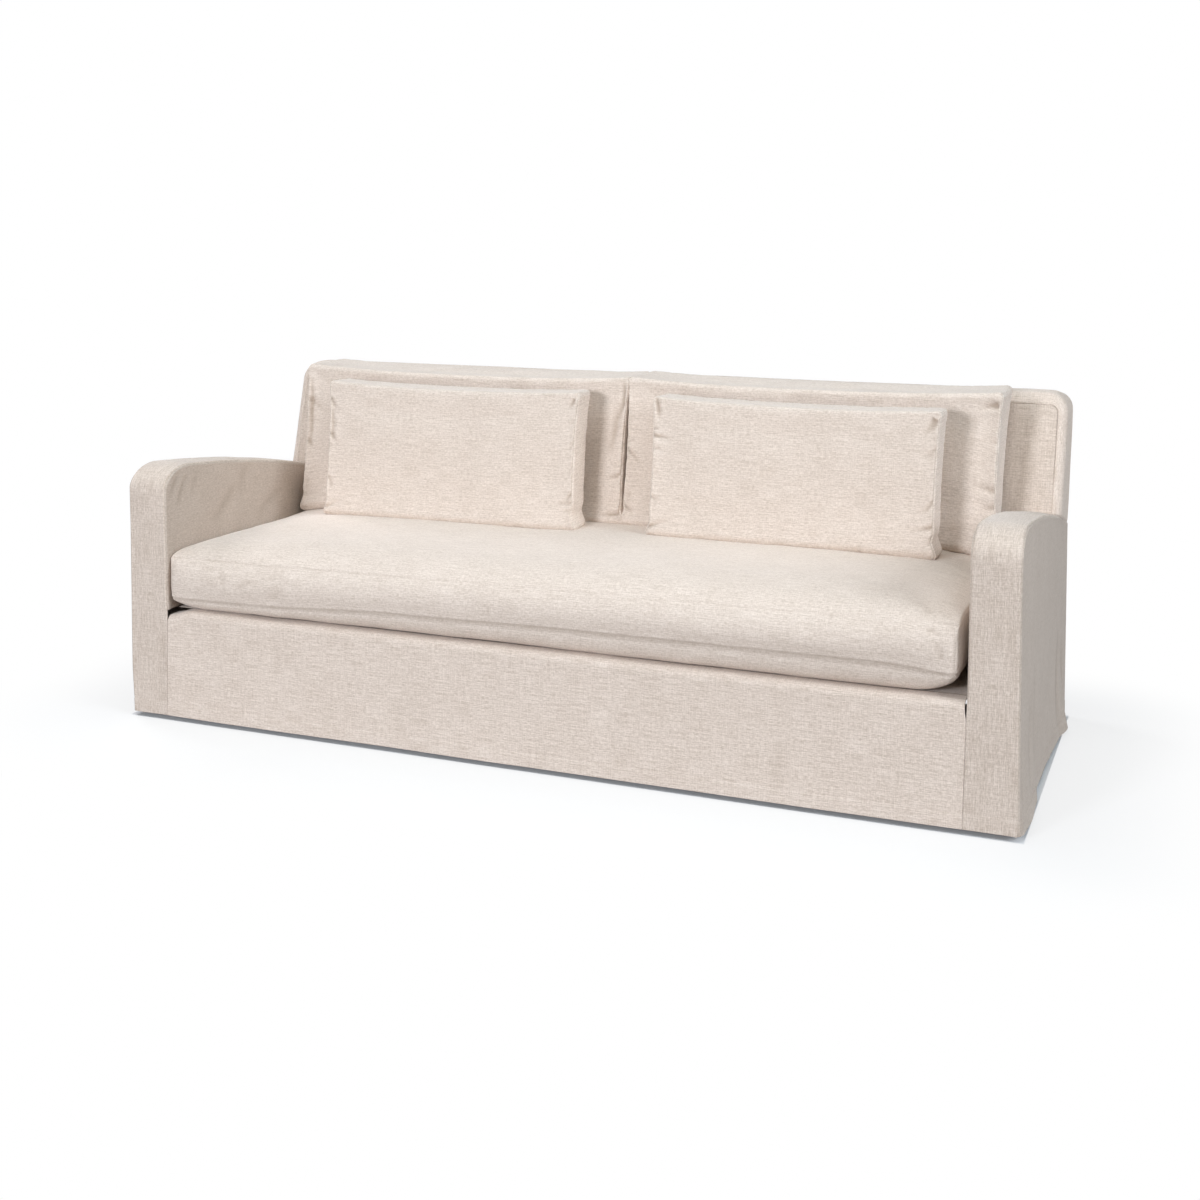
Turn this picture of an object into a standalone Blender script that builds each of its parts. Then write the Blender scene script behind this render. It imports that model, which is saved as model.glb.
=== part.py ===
"""A fitted slipcover set for a three-seat sofa, in metres, +Z up.

The cover is eleven sewn cloth panels around an empty space. One bench seat
cushion, two back cushions and two lumbar pillows in the same cloth lie on it.
Sizes below are measured from the cover's own datum: X runs along the cover
from its middle, Y runs from the face of the front panel to the rear, and Z
runs up from the floor. The empty COVER_DATUM carries every piece, so that the
world origin lies under the middle of the cover's top, where the cover hangs.
"""

from collections import namedtuple
from math import copysign, cos, pi, sin, sqrt

import bmesh
import bpy
from mathutils import Vector
from mathutils.bvhtree import BVHTree

# ---------------------------------------------------------------- sizes
CLOTH = 0.002  # thickness of every panel
GAP = 0.0003  # space left at a seam
INSET = CLOTH + GAP  # how far a panel's edge lies under the band that caps it

HALF_LENGTH = 1.120  # half the cover's length at the hem
SIDE_LEAN = 0.008  # how much narrower each side is above LEAN_TOP_Z
LEAN_TOP_Z = 0.500
ARM_WIDTH = 0.113
INNER_X = HALF_LENGTH - ARM_WIDTH  # faces of the inside arms
HEM_Z = 0.012
DECK_Z = 0.289  # top of the deck and of the rail
RAIL_ROLL = 0.018  # radius of the rolled edge of the rail
RAIL_TUCK_Y = 0.050  # where the front panel meets the deck

ARM_SHOULDER_Z = 0.590  # the arm's front turns in above this height
ARM_CORNER_Y = 0.100  # reach of the rounded front corner
ARM_PEAK_Z = 0.655
ARM_SLOPE = 0.075  # fall of the arm's top at its peak
ARM_ARCH = 0.115  # how fast that fall grows

REAR_Y = 0.937
REAR_BEND_Z = 0.530  # the outside back leans above this height
BACK_TOP_Z = 0.848
BACK_TOP_FRONT_Y = 0.851
BACK_TOP_REAR_Y = 0.993
BACK_LEAN = 0.288  # lean of the inside back, Y over Z
BACK_CORNER = 0.045  # radius of the back's top corners
BACK_CROWN = 0.004  # rise of the band along the middle of the back's top
WING_Z = 0.545  # the inside back widens above this height

SEAM_DRIFT = {-1: -0.0085, 1: -0.003}  # how far each front seam strays at the hem
SEAM_DRIFT_Z = 0.300  # and the height where it has faded

Wave = namedtuple("Wave", "place push")
# Outward push of each outside arm's hem, by its place along Y.
SIDE_WAVES = {
    1: (
        Wave(0.000, 0.000), Wave(0.022, 0.009), Wave(0.118, 0.015), Wave(0.217, 0.012),
        Wave(0.330, 0.001), Wave(0.450, 0.001), Wave(0.555, 0.003), Wave(0.692, 0.008),
        Wave(0.791, 0.022), Wave(0.870, 0.006), Wave(0.937, 0.000),
    ),
    -1: (
        Wave(0.000, 0.000), Wave(0.060, 0.006), Wave(0.170, 0.012), Wave(0.300, 0.005),
        Wave(0.420, 0.000), Wave(0.560, 0.009), Wave(0.700, 0.004), Wave(0.820, 0.016),
        Wave(0.937, 0.000),
    ),
}
# Push of the front hem forward and of the rear hem backward, by place along X.
FRONT_WAVES = (
    Wave(-1.03, 0.000), Wave(-0.80, 0.003), Wave(-0.45, 0.000), Wave(-0.10, 0.004),
    Wave(0.30, 0.001), Wave(0.62, 0.004), Wave(0.90, 0.001), Wave(1.03, 0.000),
)
REAR_WAVES = (
    Wave(-1.12, 0.000), Wave(-0.85, 0.010), Wave(-0.55, 0.002), Wave(-0.20, 0.009),
    Wave(0.15, 0.001), Wave(0.50, 0.008), Wave(0.80, 0.002), Wave(0.98, 0.010),
    Wave(1.12, 0.000),
)
WAVE_FADE_Z = 0.170  # hem waves die out at this height
WAVE_FADE_POWER = 1.6

# The seat cushion. Its two seams run round the boxing; a face lies beyond each.
SEAT_X = (-1.0035, 0.985)
SEAT_FRONT_Y = 0.004
SEAT_REAR_GAP = 0.004  # between the seat cushion and the inside back
SEAT_FOOTPRINT_Y = 0.720  # the seat's top reaches at least this far back
SEAT_TOP_SEAM_Z = (0.424, 0.445)  # at its left and right ends
SEAT_CROWN = 0.037
SEAT_FRONT_BULGE = 0.010
SEAT_ROLL_X = 0.240  # reach of the crown's soft shoulder at the ends
SEAT_ROLL_Y = 0.170  # and at the front
SEAT_FOOT_ROLL = 0.050  # the same below, where the cushion turns under
Seam = namedtuple("Seam", "x z")
SEAT_LOW_SEAM = (
    Seam(-1.00, 0.322), Seam(-0.77, 0.325), Seam(-0.33, 0.343), Seam(0.10, 0.350),
    Seam(0.51, 0.352), Seam(0.82, 0.353), Seam(0.985, 0.342),
)

# Loose cushions. A row gives the middle X and the Y of the face's lower edge, the
# width across the face, the heights of foot and top, the seam to seam depth low
# and high, how far the face leans back over its height, how it is turned, in
# degrees, and how far its face and its rear swell.
Loose = namedtuple("Loose", "x y width foot top depth_low depth_top lean yaw swell rear_swell")
BACK_CUSHIONS = {
    "back_cushion_left": Loose(-0.4850, 0.600, 0.980, 0.455, 0.866, 0.120, 0.184, 0.062, 0, 0.015, 0),
    "back_cushion_right": Loose(0.4915, 0.600, 0.963, 0.455, 0.868, 0.120, 0.184, 0.062, 0, 0.015, 0),
}
LUMBAR_PILLOWS = {
    "lumbar_pillow_left": Loose(-0.452, 0.474, 0.738, 0.462, 0.836, 0.09, 0.09, 0.046, 0, 0.020, 0.018),
    "lumbar_pillow_right": Loose(0.486, 0.474, 0.726, 0.462, 0.834, 0.09, 0.09, 0.046, -2, 0.020, 0.011),
}
REST_GAP = 0.0006  # what a cushion keeps to the one that it stands on
DRAWN_IN = 0.008  # how far an edge of a loose cushion lies inside its corners
SIDE_SWELL = 0.005  # how far its boxing swells
SWELL_POWER = 0.7  # below 1 keeps the faces full towards their seams


# ---------------------------------------------------------------- scene and finish
def clear_scene():
    for item in list(bpy.data.objects):
        bpy.data.objects.remove(item, do_unlink=True)


def fabric(name, colour):
    material = bpy.data.materials.new(name)
    material.use_nodes = True
    shader = material.node_tree.nodes["Principled BSDF"]
    shader.inputs["Base Color"].default_value = (*colour, 1.0)
    shader.inputs["Roughness"].default_value = 0.92
    shader.inputs["Metallic"].default_value = 0.0
    return material


def cover_datum():
    datum = bpy.data.objects.new("COVER_DATUM", None)
    middle_y = (BACK_TOP_FRONT_Y + BACK_TOP_REAR_Y) / 2
    datum.location = (0.0, -middle_y, -(BACK_TOP_Z + BACK_CROWN - CLOTH))
    bpy.context.scene.collection.objects.link(datum)
    return datum


def new_piece(name, build, datum, colour):
    """Adds the mesh that is in build as one object that hangs from the datum."""
    bmesh.ops.recalc_face_normals(build, faces=build.faces)
    mesh = bpy.data.meshes.new(name)
    build.to_mesh(mesh)
    build.free()
    mesh.shade_smooth()
    mesh.set_sharp_from_angle(angle=pi / 5)
    mesh.materials.append(fabric(name + "_cloth", colour))
    piece = bpy.data.objects.new(name, mesh)
    piece.parent = datum
    bpy.context.scene.collection.objects.link(piece)
    return piece


# ---------------------------------------------------------------- small mathematics
def mix(low, high, share):
    return low + (high - low) * share


def read_row(table, place):
    """The value beside this place in a table of (place, value) rows, eased between rows."""
    if place <= table[0][0]:
        return table[0][1]
    for before, after in zip(table, table[1:]):
        if place <= after[0]:
            share = (place - before[0]) / (after[0] - before[0])
            return mix(before[1], after[1], share * share * (3 - 2 * share))
    return table[-1][1]


def wave_height(z):
    """1 at the hem, 0 where the waves have died out."""
    left = max(0.0, (WAVE_FADE_Z - z) / (WAVE_FADE_Z - HEM_Z))
    return left ** WAVE_FADE_POWER


def rounded(distance, reach):
    """A quarter ellipse: 0 at an edge, 1 from this reach inwards."""
    inward = min(max(distance / reach, 0.0), 1.0)
    return sqrt(1.0 - (1.0 - inward) ** 2)


def offset_path(path, distance):
    """The path moved to its left by this distance, with mitred corners."""
    moved = []
    for index, point in enumerate(path):
        before = path[max(index - 1, 0)]
        after = path[min(index + 1, len(path) - 1)]
        steps = [
            (b - a).normalized()
            for a, b in ((before, point), (point, after))
            if (b - a).length > 0
        ]
        normals = [Vector((-step.y, step.x)) for step in steps]
        middle = sum(normals, Vector((0.0, 0.0))).normalized()
        moved.append(point + middle * (distance / middle.dot(normals[0])))
    return moved


# ---------------------------------------------------------------- lines of the cover
def outer_x(z):
    """Half the cover's length at this height."""
    return HALF_LENGTH - SIDE_LEAN * min(z / LEAN_TOP_Z, 1.0)


def seam_x(side, z):
    """Where a front seam between the rail and an arm lies at this height."""
    left = max(0.0, 1.0 - (z - HEM_Z) / (SEAM_DRIFT_Z - HEM_Z))
    return side * INNER_X + SEAM_DRIFT[side] * left


def arm_top(y):
    """Height of the arm's top behind its rounded corner."""
    return ARM_PEAK_Z - ARM_SLOPE * (y - ARM_CORNER_Y) - ARM_ARCH * (y - ARM_CORNER_Y) ** 2


def inside_back_y(z):
    return BACK_TOP_FRONT_Y - BACK_LEAN * (BACK_TOP_Z - z)


def outside_back_y(z):
    lean = (BACK_TOP_REAR_Y - REAR_Y) / (BACK_TOP_Z - REAR_BEND_Z)
    return REAR_Y + lean * max(z - REAR_BEND_Z, 0.0)


def arm_end_y():
    """Where the top of the arm runs into the inside back."""
    y = REAR_Y
    for _ in range(20):
        y = inside_back_y(arm_top(y))
    return y - 3 * GAP


def arm_curve(corner_steps=9, top_steps=9):
    """The arm's outline from its shoulder to the inside back, as (Y, Z) points."""
    rise = ARM_PEAK_Z - ARM_SHOULDER_Z
    points = []
    for step in range(corner_steps + 1):
        turn = pi / 2 * step / corner_steps
        y = ARM_CORNER_Y * (1.0 - cos(turn))
        points.append(Vector((y, ARM_SHOULDER_Z + rise * sin(turn))))
    for step in range(1, top_steps + 1):
        y = mix(ARM_CORNER_Y, arm_end_y(), step / top_steps)
        points.append(Vector((y, arm_top(y))))
    return points


def back_corner_points(steps=5):
    """The right top corner of the back, from its side to its top, as (X, Z) points."""
    side_x = outer_x(BACK_TOP_Z)
    points = []
    for step in range(steps + 1):
        turn = pi / 2 * step / steps
        x = side_x - BACK_CORNER * (1.0 - cos(turn))
        points.append(Vector((x, BACK_TOP_Z - BACK_CORNER * (1.0 - sin(turn)))))
    return points


def corner_shares(steps=5):
    """Unit normals (X, Z) of the right top corner at the points of back_corner_points."""
    return [(cos(pi / 2 * step / steps), sin(pi / 2 * step / steps)) for step in range(steps + 1)]


# ---------------------------------------------------------------- sheets of cloth
def sheet(name, outer, inner, datum, colour, keep=lambda row, column: True):
    """A closed sheet between two grids of points, made of the cells that keep allows."""
    build = bmesh.new()
    grids = [[[build.verts.new(point) for point in line] for line in grid] for grid in (outer, inner)]
    rows = len(outer) - 1
    columns = len(outer[0]) - 1

    def kept(row, column):
        return 0 <= row < rows and 0 <= column < columns and keep(row, column)

    for row in range(rows):
        for column in range(columns):
            if not kept(row, column):
                continue
            corners = ((row, column), (row, column + 1), (row + 1, column + 1), (row + 1, column))
            for grid, order in ((grids[0], corners), (grids[1], corners[::-1])):
                build.faces.new([grid[r][c] for r, c in order])
            neighbours = ((row - 1, column), (row, column + 1), (row + 1, column), (row, column - 1))
            for index, beside in enumerate(neighbours):
                if kept(*beside):
                    continue
                a = corners[index]
                b = corners[(index + 1) % 4]
                build.faces.new(
                    (
                        grids[0][b[0]][b[1]], grids[0][a[0]][a[1]],
                        grids[1][a[0]][a[1]], grids[1][b[0]][b[1]],
                    )
                )
    loose = [vert for vert in build.verts if not vert.link_faces]
    bmesh.ops.delete(build, geom=loose, context="VERTS")
    return new_piece(name, build, datum, colour)


def make_front_panel(datum, colour, columns=22):
    """The rail's front: a straight skirt, the rolled top edge and the tuck behind it."""
    heights = [HEM_Z, 0.030, 0.060, 0.100, 0.150, 0.210, DECK_Z - RAIL_ROLL]
    path = [Vector((0.0, z)) for z in heights]
    for step in range(1, 6):
        turn = pi / 2 * step / 5
        y = RAIL_ROLL * (1.0 - cos(turn))
        path.append(Vector((y, DECK_Z - RAIL_ROLL * (1.0 - sin(turn)))))
    path.append(Vector((RAIL_TUCK_Y, DECK_Z)))
    grids = []
    for line in (path, offset_path(path, -CLOTH)):
        grid = []
        for y, z in line:
            left = seam_x(-1, z) + GAP
            right = seam_x(1, z) - GAP
            row = []
            for column in range(columns + 1):
                x = mix(left, right, column / columns)
                push = read_row(FRONT_WAVES, x) * wave_height(z)
                row.append(Vector((x, y - push, z)))
            grid.append(row)
        grids.append(grid)
    sheet("front_panel", *grids, datum, colour)


def make_deck(datum, colour):
    rear_y = inside_back_y(DECK_Z) + CLOTH
    reach_x = INNER_X + CLOTH
    grids = []
    for z in (DECK_Z, DECK_Z - CLOTH):
        grid = []
        for row in range(4):
            y = mix(RAIL_TUCK_Y + GAP, rear_y, row / 3)
            grid.append([Vector((mix(-reach_x, reach_x, column / 6), y, z)) for column in range(7)])
        grids.append(grid)
    sheet("deck", *grids, datum, colour)


def make_arm_band(name, side, datum, colour, across=3):
    """One strip over an arm: up its front, round the corner and back along its top."""
    front = [Vector((0.0, mix(HEM_Z, ARM_SHOULDER_Z, step / 8))) for step in range(8)]
    path = front + arm_curve()
    grids = []
    for line in (path, offset_path(path, -CLOTH)):
        grid = []
        for y, z in line:
            inner = abs(seam_x(side, z))
            row = [Vector((side * mix(inner, outer_x(z), c / across), y, z)) for c in range(across + 1)]
            grid.append(row)
        grids.append(grid)
    sheet(name, *grids, datum, colour)


def make_inside_arm(name, side, datum, colour, rows=4):
    """The arm's face beside the seat. Its rear edge follows the leaning back."""
    curve = offset_path(arm_curve(), -INSET)
    start_y = curve[0].x
    end_y = curve[-1].x
    floor_z = DECK_Z + GAP
    grids = []
    for x in (INNER_X, INNER_X + CLOTH):
        grid = []
        for row in range(rows + 1):
            line = []
            for y, top_z in curve:
                z = mix(floor_z, top_z, row / rows)
                share = (y - start_y) / (end_y - start_y)
                rear_y = mix(inside_back_y(floor_z) - 3 * GAP, end_y, row / rows)
                line.append(Vector((side * x, mix(start_y, rear_y, share), z)))
            grid.append(line)
        grids.append(grid)
    sheet(name, *grids, datum, colour)


def make_outside_arm(name, side, datum, colour):
    """The cover's end below the arm's top, with its waving hem."""
    curve = offset_path(arm_curve(6, 9), -INSET)
    end_y = arm_end_y()
    top_line = curve[:-1] + [Vector((end_y + GAP, arm_top(end_y) - INSET))]
    for step in range(4):
        y = mix(end_y + 2 * CLOTH, REAR_Y, step / 3)
        top_line.append(Vector((y, arm_top(y) - 2 * GAP)))
    heights = [0.0, 0.05, 0.10, 0.16, 0.23, 0.36, 0.54, 0.76, 1.0]  # shares, crowded at the hem
    grids = []
    for depth in (0.0, CLOTH):
        grid = []
        for share in heights:
            line = []
            for y, top_z in top_line:
                z = mix(HEM_Z, top_z, share)
                push = read_row(SIDE_WAVES[side], y) * wave_height(z)
                line.append(Vector((side * (outer_x(z) - depth + push), y, z)))
            grid.append(line)
        grids.append(grid)
    sheet(name, *grids, datum, colour)


def make_inside_back(datum, colour):
    """The leaning panel behind the cushions: narrow between the arms, wide above them."""
    corner = [
        Vector((x - INSET * x_share, z - INSET * z_share))
        for (x, z), (x_share, z_share) in zip(back_corner_points(), corner_shares())
    ]
    inner = INNER_X + CLOTH
    right = [(inner, BACK_TOP_Z - INSET)] + [(x, z) for x, z in reversed(corner)]
    middle = [(mix(-inner, inner, step / 6), BACK_TOP_Z - INSET) for step in range(1, 6)]
    tops = [(-x, z) for x, z in reversed(right)] + middle + right
    floor_z = DECK_Z + GAP
    low_heights = [mix(floor_z, WING_Z, step / 3) for step in range(3)]
    shares = [0.0, 0.25, 0.5, 0.75, 1.0]
    grids = []
    for depth in (0.0, CLOTH):
        grid = []
        for z in low_heights:
            grid.append([Vector((x, inside_back_y(z) + depth, z)) for x, _ in tops])
        for share in shares:
            line = []
            for x, top_z in tops:
                z = mix(WING_Z, top_z, share)
                line.append(Vector((x, inside_back_y(z) + depth, z)))
            grid.append(line)
        grids.append(grid)
    wing_columns = len(right) - 1

    def keep(row, column):
        between_arms = wing_columns <= column < len(tops) - 1 - wing_columns
        return row >= len(low_heights) or between_arms

    sheet("inside_back", *grids, datum, colour, keep)


def make_back_band(datum, colour, across=4, rise_steps=4, top_steps=14):
    """One strip round the back: up an end, along the top and down the other end."""
    grids = []
    for depth in (0.0, CLOTH):
        corner = [
            Vector((x - depth * x_share, z - depth * z_share))
            for (x, z), (x_share, z_share) in zip(back_corner_points(), corner_shares())
        ]
        side_x = corner[0].x
        flat_x = corner[-1].x
        columns = []
        for step in range(rise_steps):
            columns.append((side_x, step / rise_steps, None))
        columns += [(x, None, z) for x, z in corner]
        columns += [(mix(flat_x, -flat_x, s / top_steps), None, corner[-1].y) for s in range(1, top_steps)]
        columns += [(-x, None, z) for x, z in reversed(corner)]
        for step in reversed(range(rise_steps)):
            columns.append((-side_x, step / rise_steps, None))
        grid = []
        for x, share, z in columns:
            line = []
            for cell in range(across + 1):
                part = cell / across
                foot_y = mix(inside_back_y(arm_top(arm_end_y())), REAR_Y, part)
                height = z if share is None else mix(arm_top(foot_y), corner[0].y, share)
                y = mix(inside_back_y(height), outside_back_y(height), part)
                if share == 0:
                    y = foot_y
                across_x = x if share is None else copysign(outer_x(height) - depth, x)
                on_top = rounded(flat_x + 0.001 - abs(x), BACK_CORNER)
                crown = BACK_CROWN * (1.0 - (2.0 * part - 1.0) ** 2) * on_top
                line.append(Vector((across_x, y, height + crown)))
            grid.append(line)
        grids.append(grid)
    sheet("back_band", *grids, datum, colour)


def make_outside_back(datum, colour):
    """The cover's rear, upright to REAR_BEND_Z and leaning above it."""
    corner = [
        Vector((x - INSET * x_share, z - INSET * z_share))
        for (x, z), (x_share, z_share) in zip(back_corner_points(), corner_shares())
    ]
    right = [(x, z) for x, z in reversed(corner)]
    middle = [(mix(-right[0][0], right[0][0], step / 14), right[0][1]) for step in range(1, 14)]
    tops = [(-x, z) for x, z in reversed(right)] + middle + right
    low_heights = [HEM_Z, 0.050, 0.110, 0.180, 0.340, LEAN_TOP_Z]
    shares = [0.0, 0.5, 1.0]
    widest = outer_x(BACK_TOP_Z) - INSET
    grids = []
    for depth in (0.0, CLOTH):
        grid = []
        for z in low_heights:
            line = []
            for x, _ in tops:
                spread = x / widest * (outer_x(z) - INSET)
                push = read_row(REAR_WAVES, spread) * wave_height(z)
                line.append(Vector((spread, REAR_Y - depth + push, z)))
            grid.append(line)
        for share in shares:
            line = []
            for x, top_z in tops:
                z = mix(REAR_BEND_Z, top_z, share)
                spread = x / widest * (outer_x(z) - INSET)
                line.append(Vector((spread, outside_back_y(z) - depth, z)))
            grid.append(line)
        grids.append(grid)
    sheet("outside_back", *grids, datum, colour)


# ---------------------------------------------------------------- filled cushions
def spread_steps(count, crowding=1.6):
    """Places from -1 to 1 that crowd towards both ends, where a cushion turns."""
    places = []
    for step in range(count + 1):
        t = 2.0 * step / count - 1.0
        reach = 1.0 - (1.0 - abs(t)) ** crowding
        places.append(reach if t > 0 else -reach)
    return places


def filled(name, counts, place, datum, colour):
    """A closed block of cells, each point of its skin put where place(u, v, w) says."""
    build = bmesh.new()
    axes = [spread_steps(counts[0]), spread_steps(counts[1])]
    axes.append([2.0 * step / counts[2] - 1.0 for step in range(counts[2] + 1)])
    verts = {}

    def vert(key):
        if key not in verts:
            verts[key] = build.verts.new(place(*(axes[axis][key[axis]] for axis in range(3))))
        return verts[key]

    for axis in range(3):
        first, second = [other for other in range(3) if other != axis]
        for level in (0, counts[axis]):
            for i in range(counts[first]):
                for j in range(counts[second]):
                    face = []
                    for di, dj in ((0, 0), (1, 0), (1, 1), (0, 1)):
                        key = [0, 0, 0]
                        key[axis] = level
                        key[first] = i + di
                        key[second] = j + dj
                        face.append(vert(tuple(key)))
                    build.faces.new(face)
    return new_piece(name, build, datum, colour)


def seat_place(u, v, w):
    """A point of the seat cushion's skin. u runs along X, v along Y and w up."""
    x = mix(*SEAT_X, (u + 1) / 2)
    low_z = read_row(SEAT_LOW_SEAM, x)
    top_z = mix(*SEAT_TOP_SEAM_Z, (u + 1) / 2)
    z = mix(low_z, top_z, (w + 1) / 2)
    rear_y = inside_back_y(z) - SEAT_REAR_GAP
    y = mix(SEAT_FRONT_Y, rear_y, (v + 1) / 2)
    to_end = (1.0 - abs(u)) * (SEAT_X[1] - SEAT_X[0]) / 2
    to_front = y - SEAT_FRONT_Y
    to_rear = rear_y - y
    if w == 1:
        front_roll = rounded(to_front, SEAT_ROLL_Y)
        z += SEAT_CROWN * rounded(to_end, SEAT_ROLL_X) * front_roll * rounded(to_rear, SEAT_REAR_GAP)
    if w == -1:
        drop = low_z - DECK_Z - REST_GAP
        foot_roll = rounded(to_front, SEAT_FOOT_ROLL) * rounded(to_rear, SEAT_FOOT_ROLL)
        z -= drop * rounded(to_end, 2 * SEAT_FOOT_ROLL) * foot_roll
    if v == -1:
        y -= SEAT_FRONT_BULGE * (1.0 - w * w) * rounded(to_end, SEAT_ROLL_X)
    return Vector((x, y, z))


def loose_place(row, u, v, w):
    """A point of a loose cushion before it is set down. u is across, v up, w front to rear."""
    tall = row.top - row.foot
    rise = (v + 1) / 2
    x = u * (row.width / 2 - DRAWN_IN * (1.0 - v * v))
    z = mix(row.foot, row.top, rise) - max(v, 0.0) * DRAWN_IN * (1.0 - u * u)
    swelling = ((1.0 - u ** 4) * (1.0 - v ** 4)) ** SWELL_POWER
    front = -row.swell * swelling if w == -1 else 0.0
    rear = row.rear_swell * swelling if w == 1 else 0.0
    depth = mix(row.depth_low, row.depth_top, rise)
    y = mix(front, depth + rear, (w + 1) / 2) + row.lean * (z - row.foot) / tall
    side_swell = SIDE_SWELL * (1.0 - w * w)
    if abs(u) == 1:
        x += u * side_swell * (1.0 - v * v)
    if v == 1:
        z += side_swell * (1.0 - u * u)
    turn = row.yaw * pi / 180
    turned_x = x * cos(turn) - y * sin(turn)
    turned_y = x * sin(turn) + y * cos(turn)
    return Vector((row.x + turned_x, row.y + turned_y, z))


def surface_tree(piece):
    return BVHTree.FromPolygons(
        [vertex.co for vertex in piece.data.vertices],
        [polygon.vertices for polygon in piece.data.polygons],
    )


def height_on(tree, point, down=True):
    """Height of the surface straight under, or over, this point, or None where there is none."""
    start = Vector((point.x, point.y, 2.0 if down else -2.0))
    return getattr(tree.ray_cast(start, Vector((0, 0, -1 if down else 1)))[0], "z", None)


def set_down(piece, seat, row):
    """Shapes a cushion's underside to the seat and rests it there, REST_GAP clear of it."""
    seat_tree = surface_tree(seat)
    verts = piece.data.vertices
    for vertex in verts:
        inside = Vector((vertex.co.x, min(vertex.co.y, SEAT_FOOTPRINT_Y), 0.0))
        share = (vertex.co.z - row.foot) / (row.top - row.foot)
        vertex.co.z += (height_on(seat_tree, inside) - row.foot) * (1.0 - share)
    own_tree = surface_tree(piece)
    clear = [v.co.z - height_on(seat_tree, v.co) for v in verts if height_on(seat_tree, v.co) is not None]
    for corner in seat.data.vertices:
        under = height_on(own_tree, corner.co, down=False)
        if under is not None and corner.co.z > row.foot - 0.05:
            clear.append(under - corner.co.z)
    lift = REST_GAP - min(clear)
    for vertex in verts:
        vertex.co.z += lift


def make_cushions(datum, colour):
    seat = filled("seat_cushion", (26, 12, 3), seat_place, datum, colour)
    for table, counts in ((BACK_CUSHIONS, (16, 8, 3)), (LUMBAR_PILLOWS, (14, 8, 3))):
        for name, row in table.items():

            def place(u, v, w, row=row):
                return loose_place(row, u, v, w)

            piece = filled(name, counts, place, datum, colour)
            set_down(piece, seat, row)


# ---------------------------------------------------------------- the whole set
def main():
    clear_scene()
    datum = cover_datum()
    oatmeal = (0.62, 0.55, 0.48)
    shaded = (0.57, 0.51, 0.45)
    make_front_panel(datum, oatmeal)
    make_deck(datum, shaded)
    for side, end in ((-1, "left"), (1, "right")):
        make_arm_band("arm_band_" + end, side, datum, oatmeal)
        make_inside_arm("inside_arm_" + end, side, datum, shaded)
        make_outside_arm("outside_arm_" + end, side, datum, shaded)
    make_inside_back(datum, oatmeal)
    make_back_band(datum, oatmeal)
    make_outside_back(datum, shaded)
    make_cushions(datum, oatmeal)


main()
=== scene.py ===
"""Looks of a fitted linen slipcover and its five cushions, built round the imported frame.

Every piece is worked out in the cover's own datum: X runs along the cover from its middle,
Y from the front panel's face to the rear, and Z up from the floor, in metres. ORIGIN carries
those points into the frame. A cover panel is a thin sheet whose outer face is a grid of
points. A cushion is a closed skin of two faces and the boxing between them.
"""

from collections import namedtuple
from math import cos, pi, radians, sin

import bpy
import numpy as np
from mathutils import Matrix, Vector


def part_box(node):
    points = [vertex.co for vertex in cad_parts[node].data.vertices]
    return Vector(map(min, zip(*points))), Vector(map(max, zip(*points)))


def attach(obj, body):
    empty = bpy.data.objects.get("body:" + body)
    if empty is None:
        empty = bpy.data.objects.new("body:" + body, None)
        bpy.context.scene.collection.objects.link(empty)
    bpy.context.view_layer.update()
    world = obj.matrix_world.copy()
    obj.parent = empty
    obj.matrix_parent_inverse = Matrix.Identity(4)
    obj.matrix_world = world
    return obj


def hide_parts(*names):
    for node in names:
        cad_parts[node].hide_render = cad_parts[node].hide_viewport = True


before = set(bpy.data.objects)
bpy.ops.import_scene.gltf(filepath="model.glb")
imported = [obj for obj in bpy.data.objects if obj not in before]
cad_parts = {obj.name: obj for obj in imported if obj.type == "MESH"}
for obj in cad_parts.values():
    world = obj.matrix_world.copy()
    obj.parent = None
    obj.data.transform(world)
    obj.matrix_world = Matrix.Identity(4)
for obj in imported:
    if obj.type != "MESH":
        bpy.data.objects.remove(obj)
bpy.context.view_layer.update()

# ---------------------------------------------------------------- sizes
HEM_Z = 0.012
FRONT_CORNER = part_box("arm_band_right")[0]
ORIGIN = np.array((0.0, FRONT_CORNER.y, FRONT_CORNER.z - HEM_Z))
FLOOR_Z = ORIGIN[2]

CLOTH = 0.0016  # thickness of the linen as seen
SEAM_ROLL = 0.0006  # how far a panel's edge turns in at a flat seam
SEAM_GAP = 0.0002  # between two panels that are sewn together
FAR = 0.1  # past the reach of every seam

HALF_LENGTH = 1.120  # from the middle to an arm's outside, at the floor
SIDE_LEAN = 0.008  # how far that outside has leaned in at LEAN_TOP_Z
LEAN_TOP_Z = 0.500
ARM_FULLNESS = {-1: 0.006, 1: 0.0}
INNER_X = 1.007  # an arm's inner face
DECK_Z = 0.289
RAIL_ROLL = 0.018  # radius of the rail's top edge
RAIL_TUCK_Y = 0.050  # where the front panel ends on the deck

ARM_SHOULDER_Z = 0.590  # where an arm's front begins to curve back
ARM_CORNER_Y = 0.100  # where that curve reaches its top
ARM_PEAK_Z = 0.655
ARM_SLOPE = 0.075  # how steeply its top starts to fall to the rear
ARM_ARCH = 0.115  # how fast it grows steeper

REAR_Y = 0.937  # the rear, upright below REAR_BEND_Z
REAR_BEND_Z = 0.530
BACK_TOP_Z = 0.848
BACK_TOP_FRONT_Y = 0.851
BACK_TOP_REAR_Y = 0.993
BACK_LEAN = 0.288  # how far the inside back leans for each metre of its height
BACK_CORNER = 0.045  # radius of the back's upper corners, seen from the front
BACK_CROWN = 0.009  # how far the band over the back's top is domed

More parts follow.
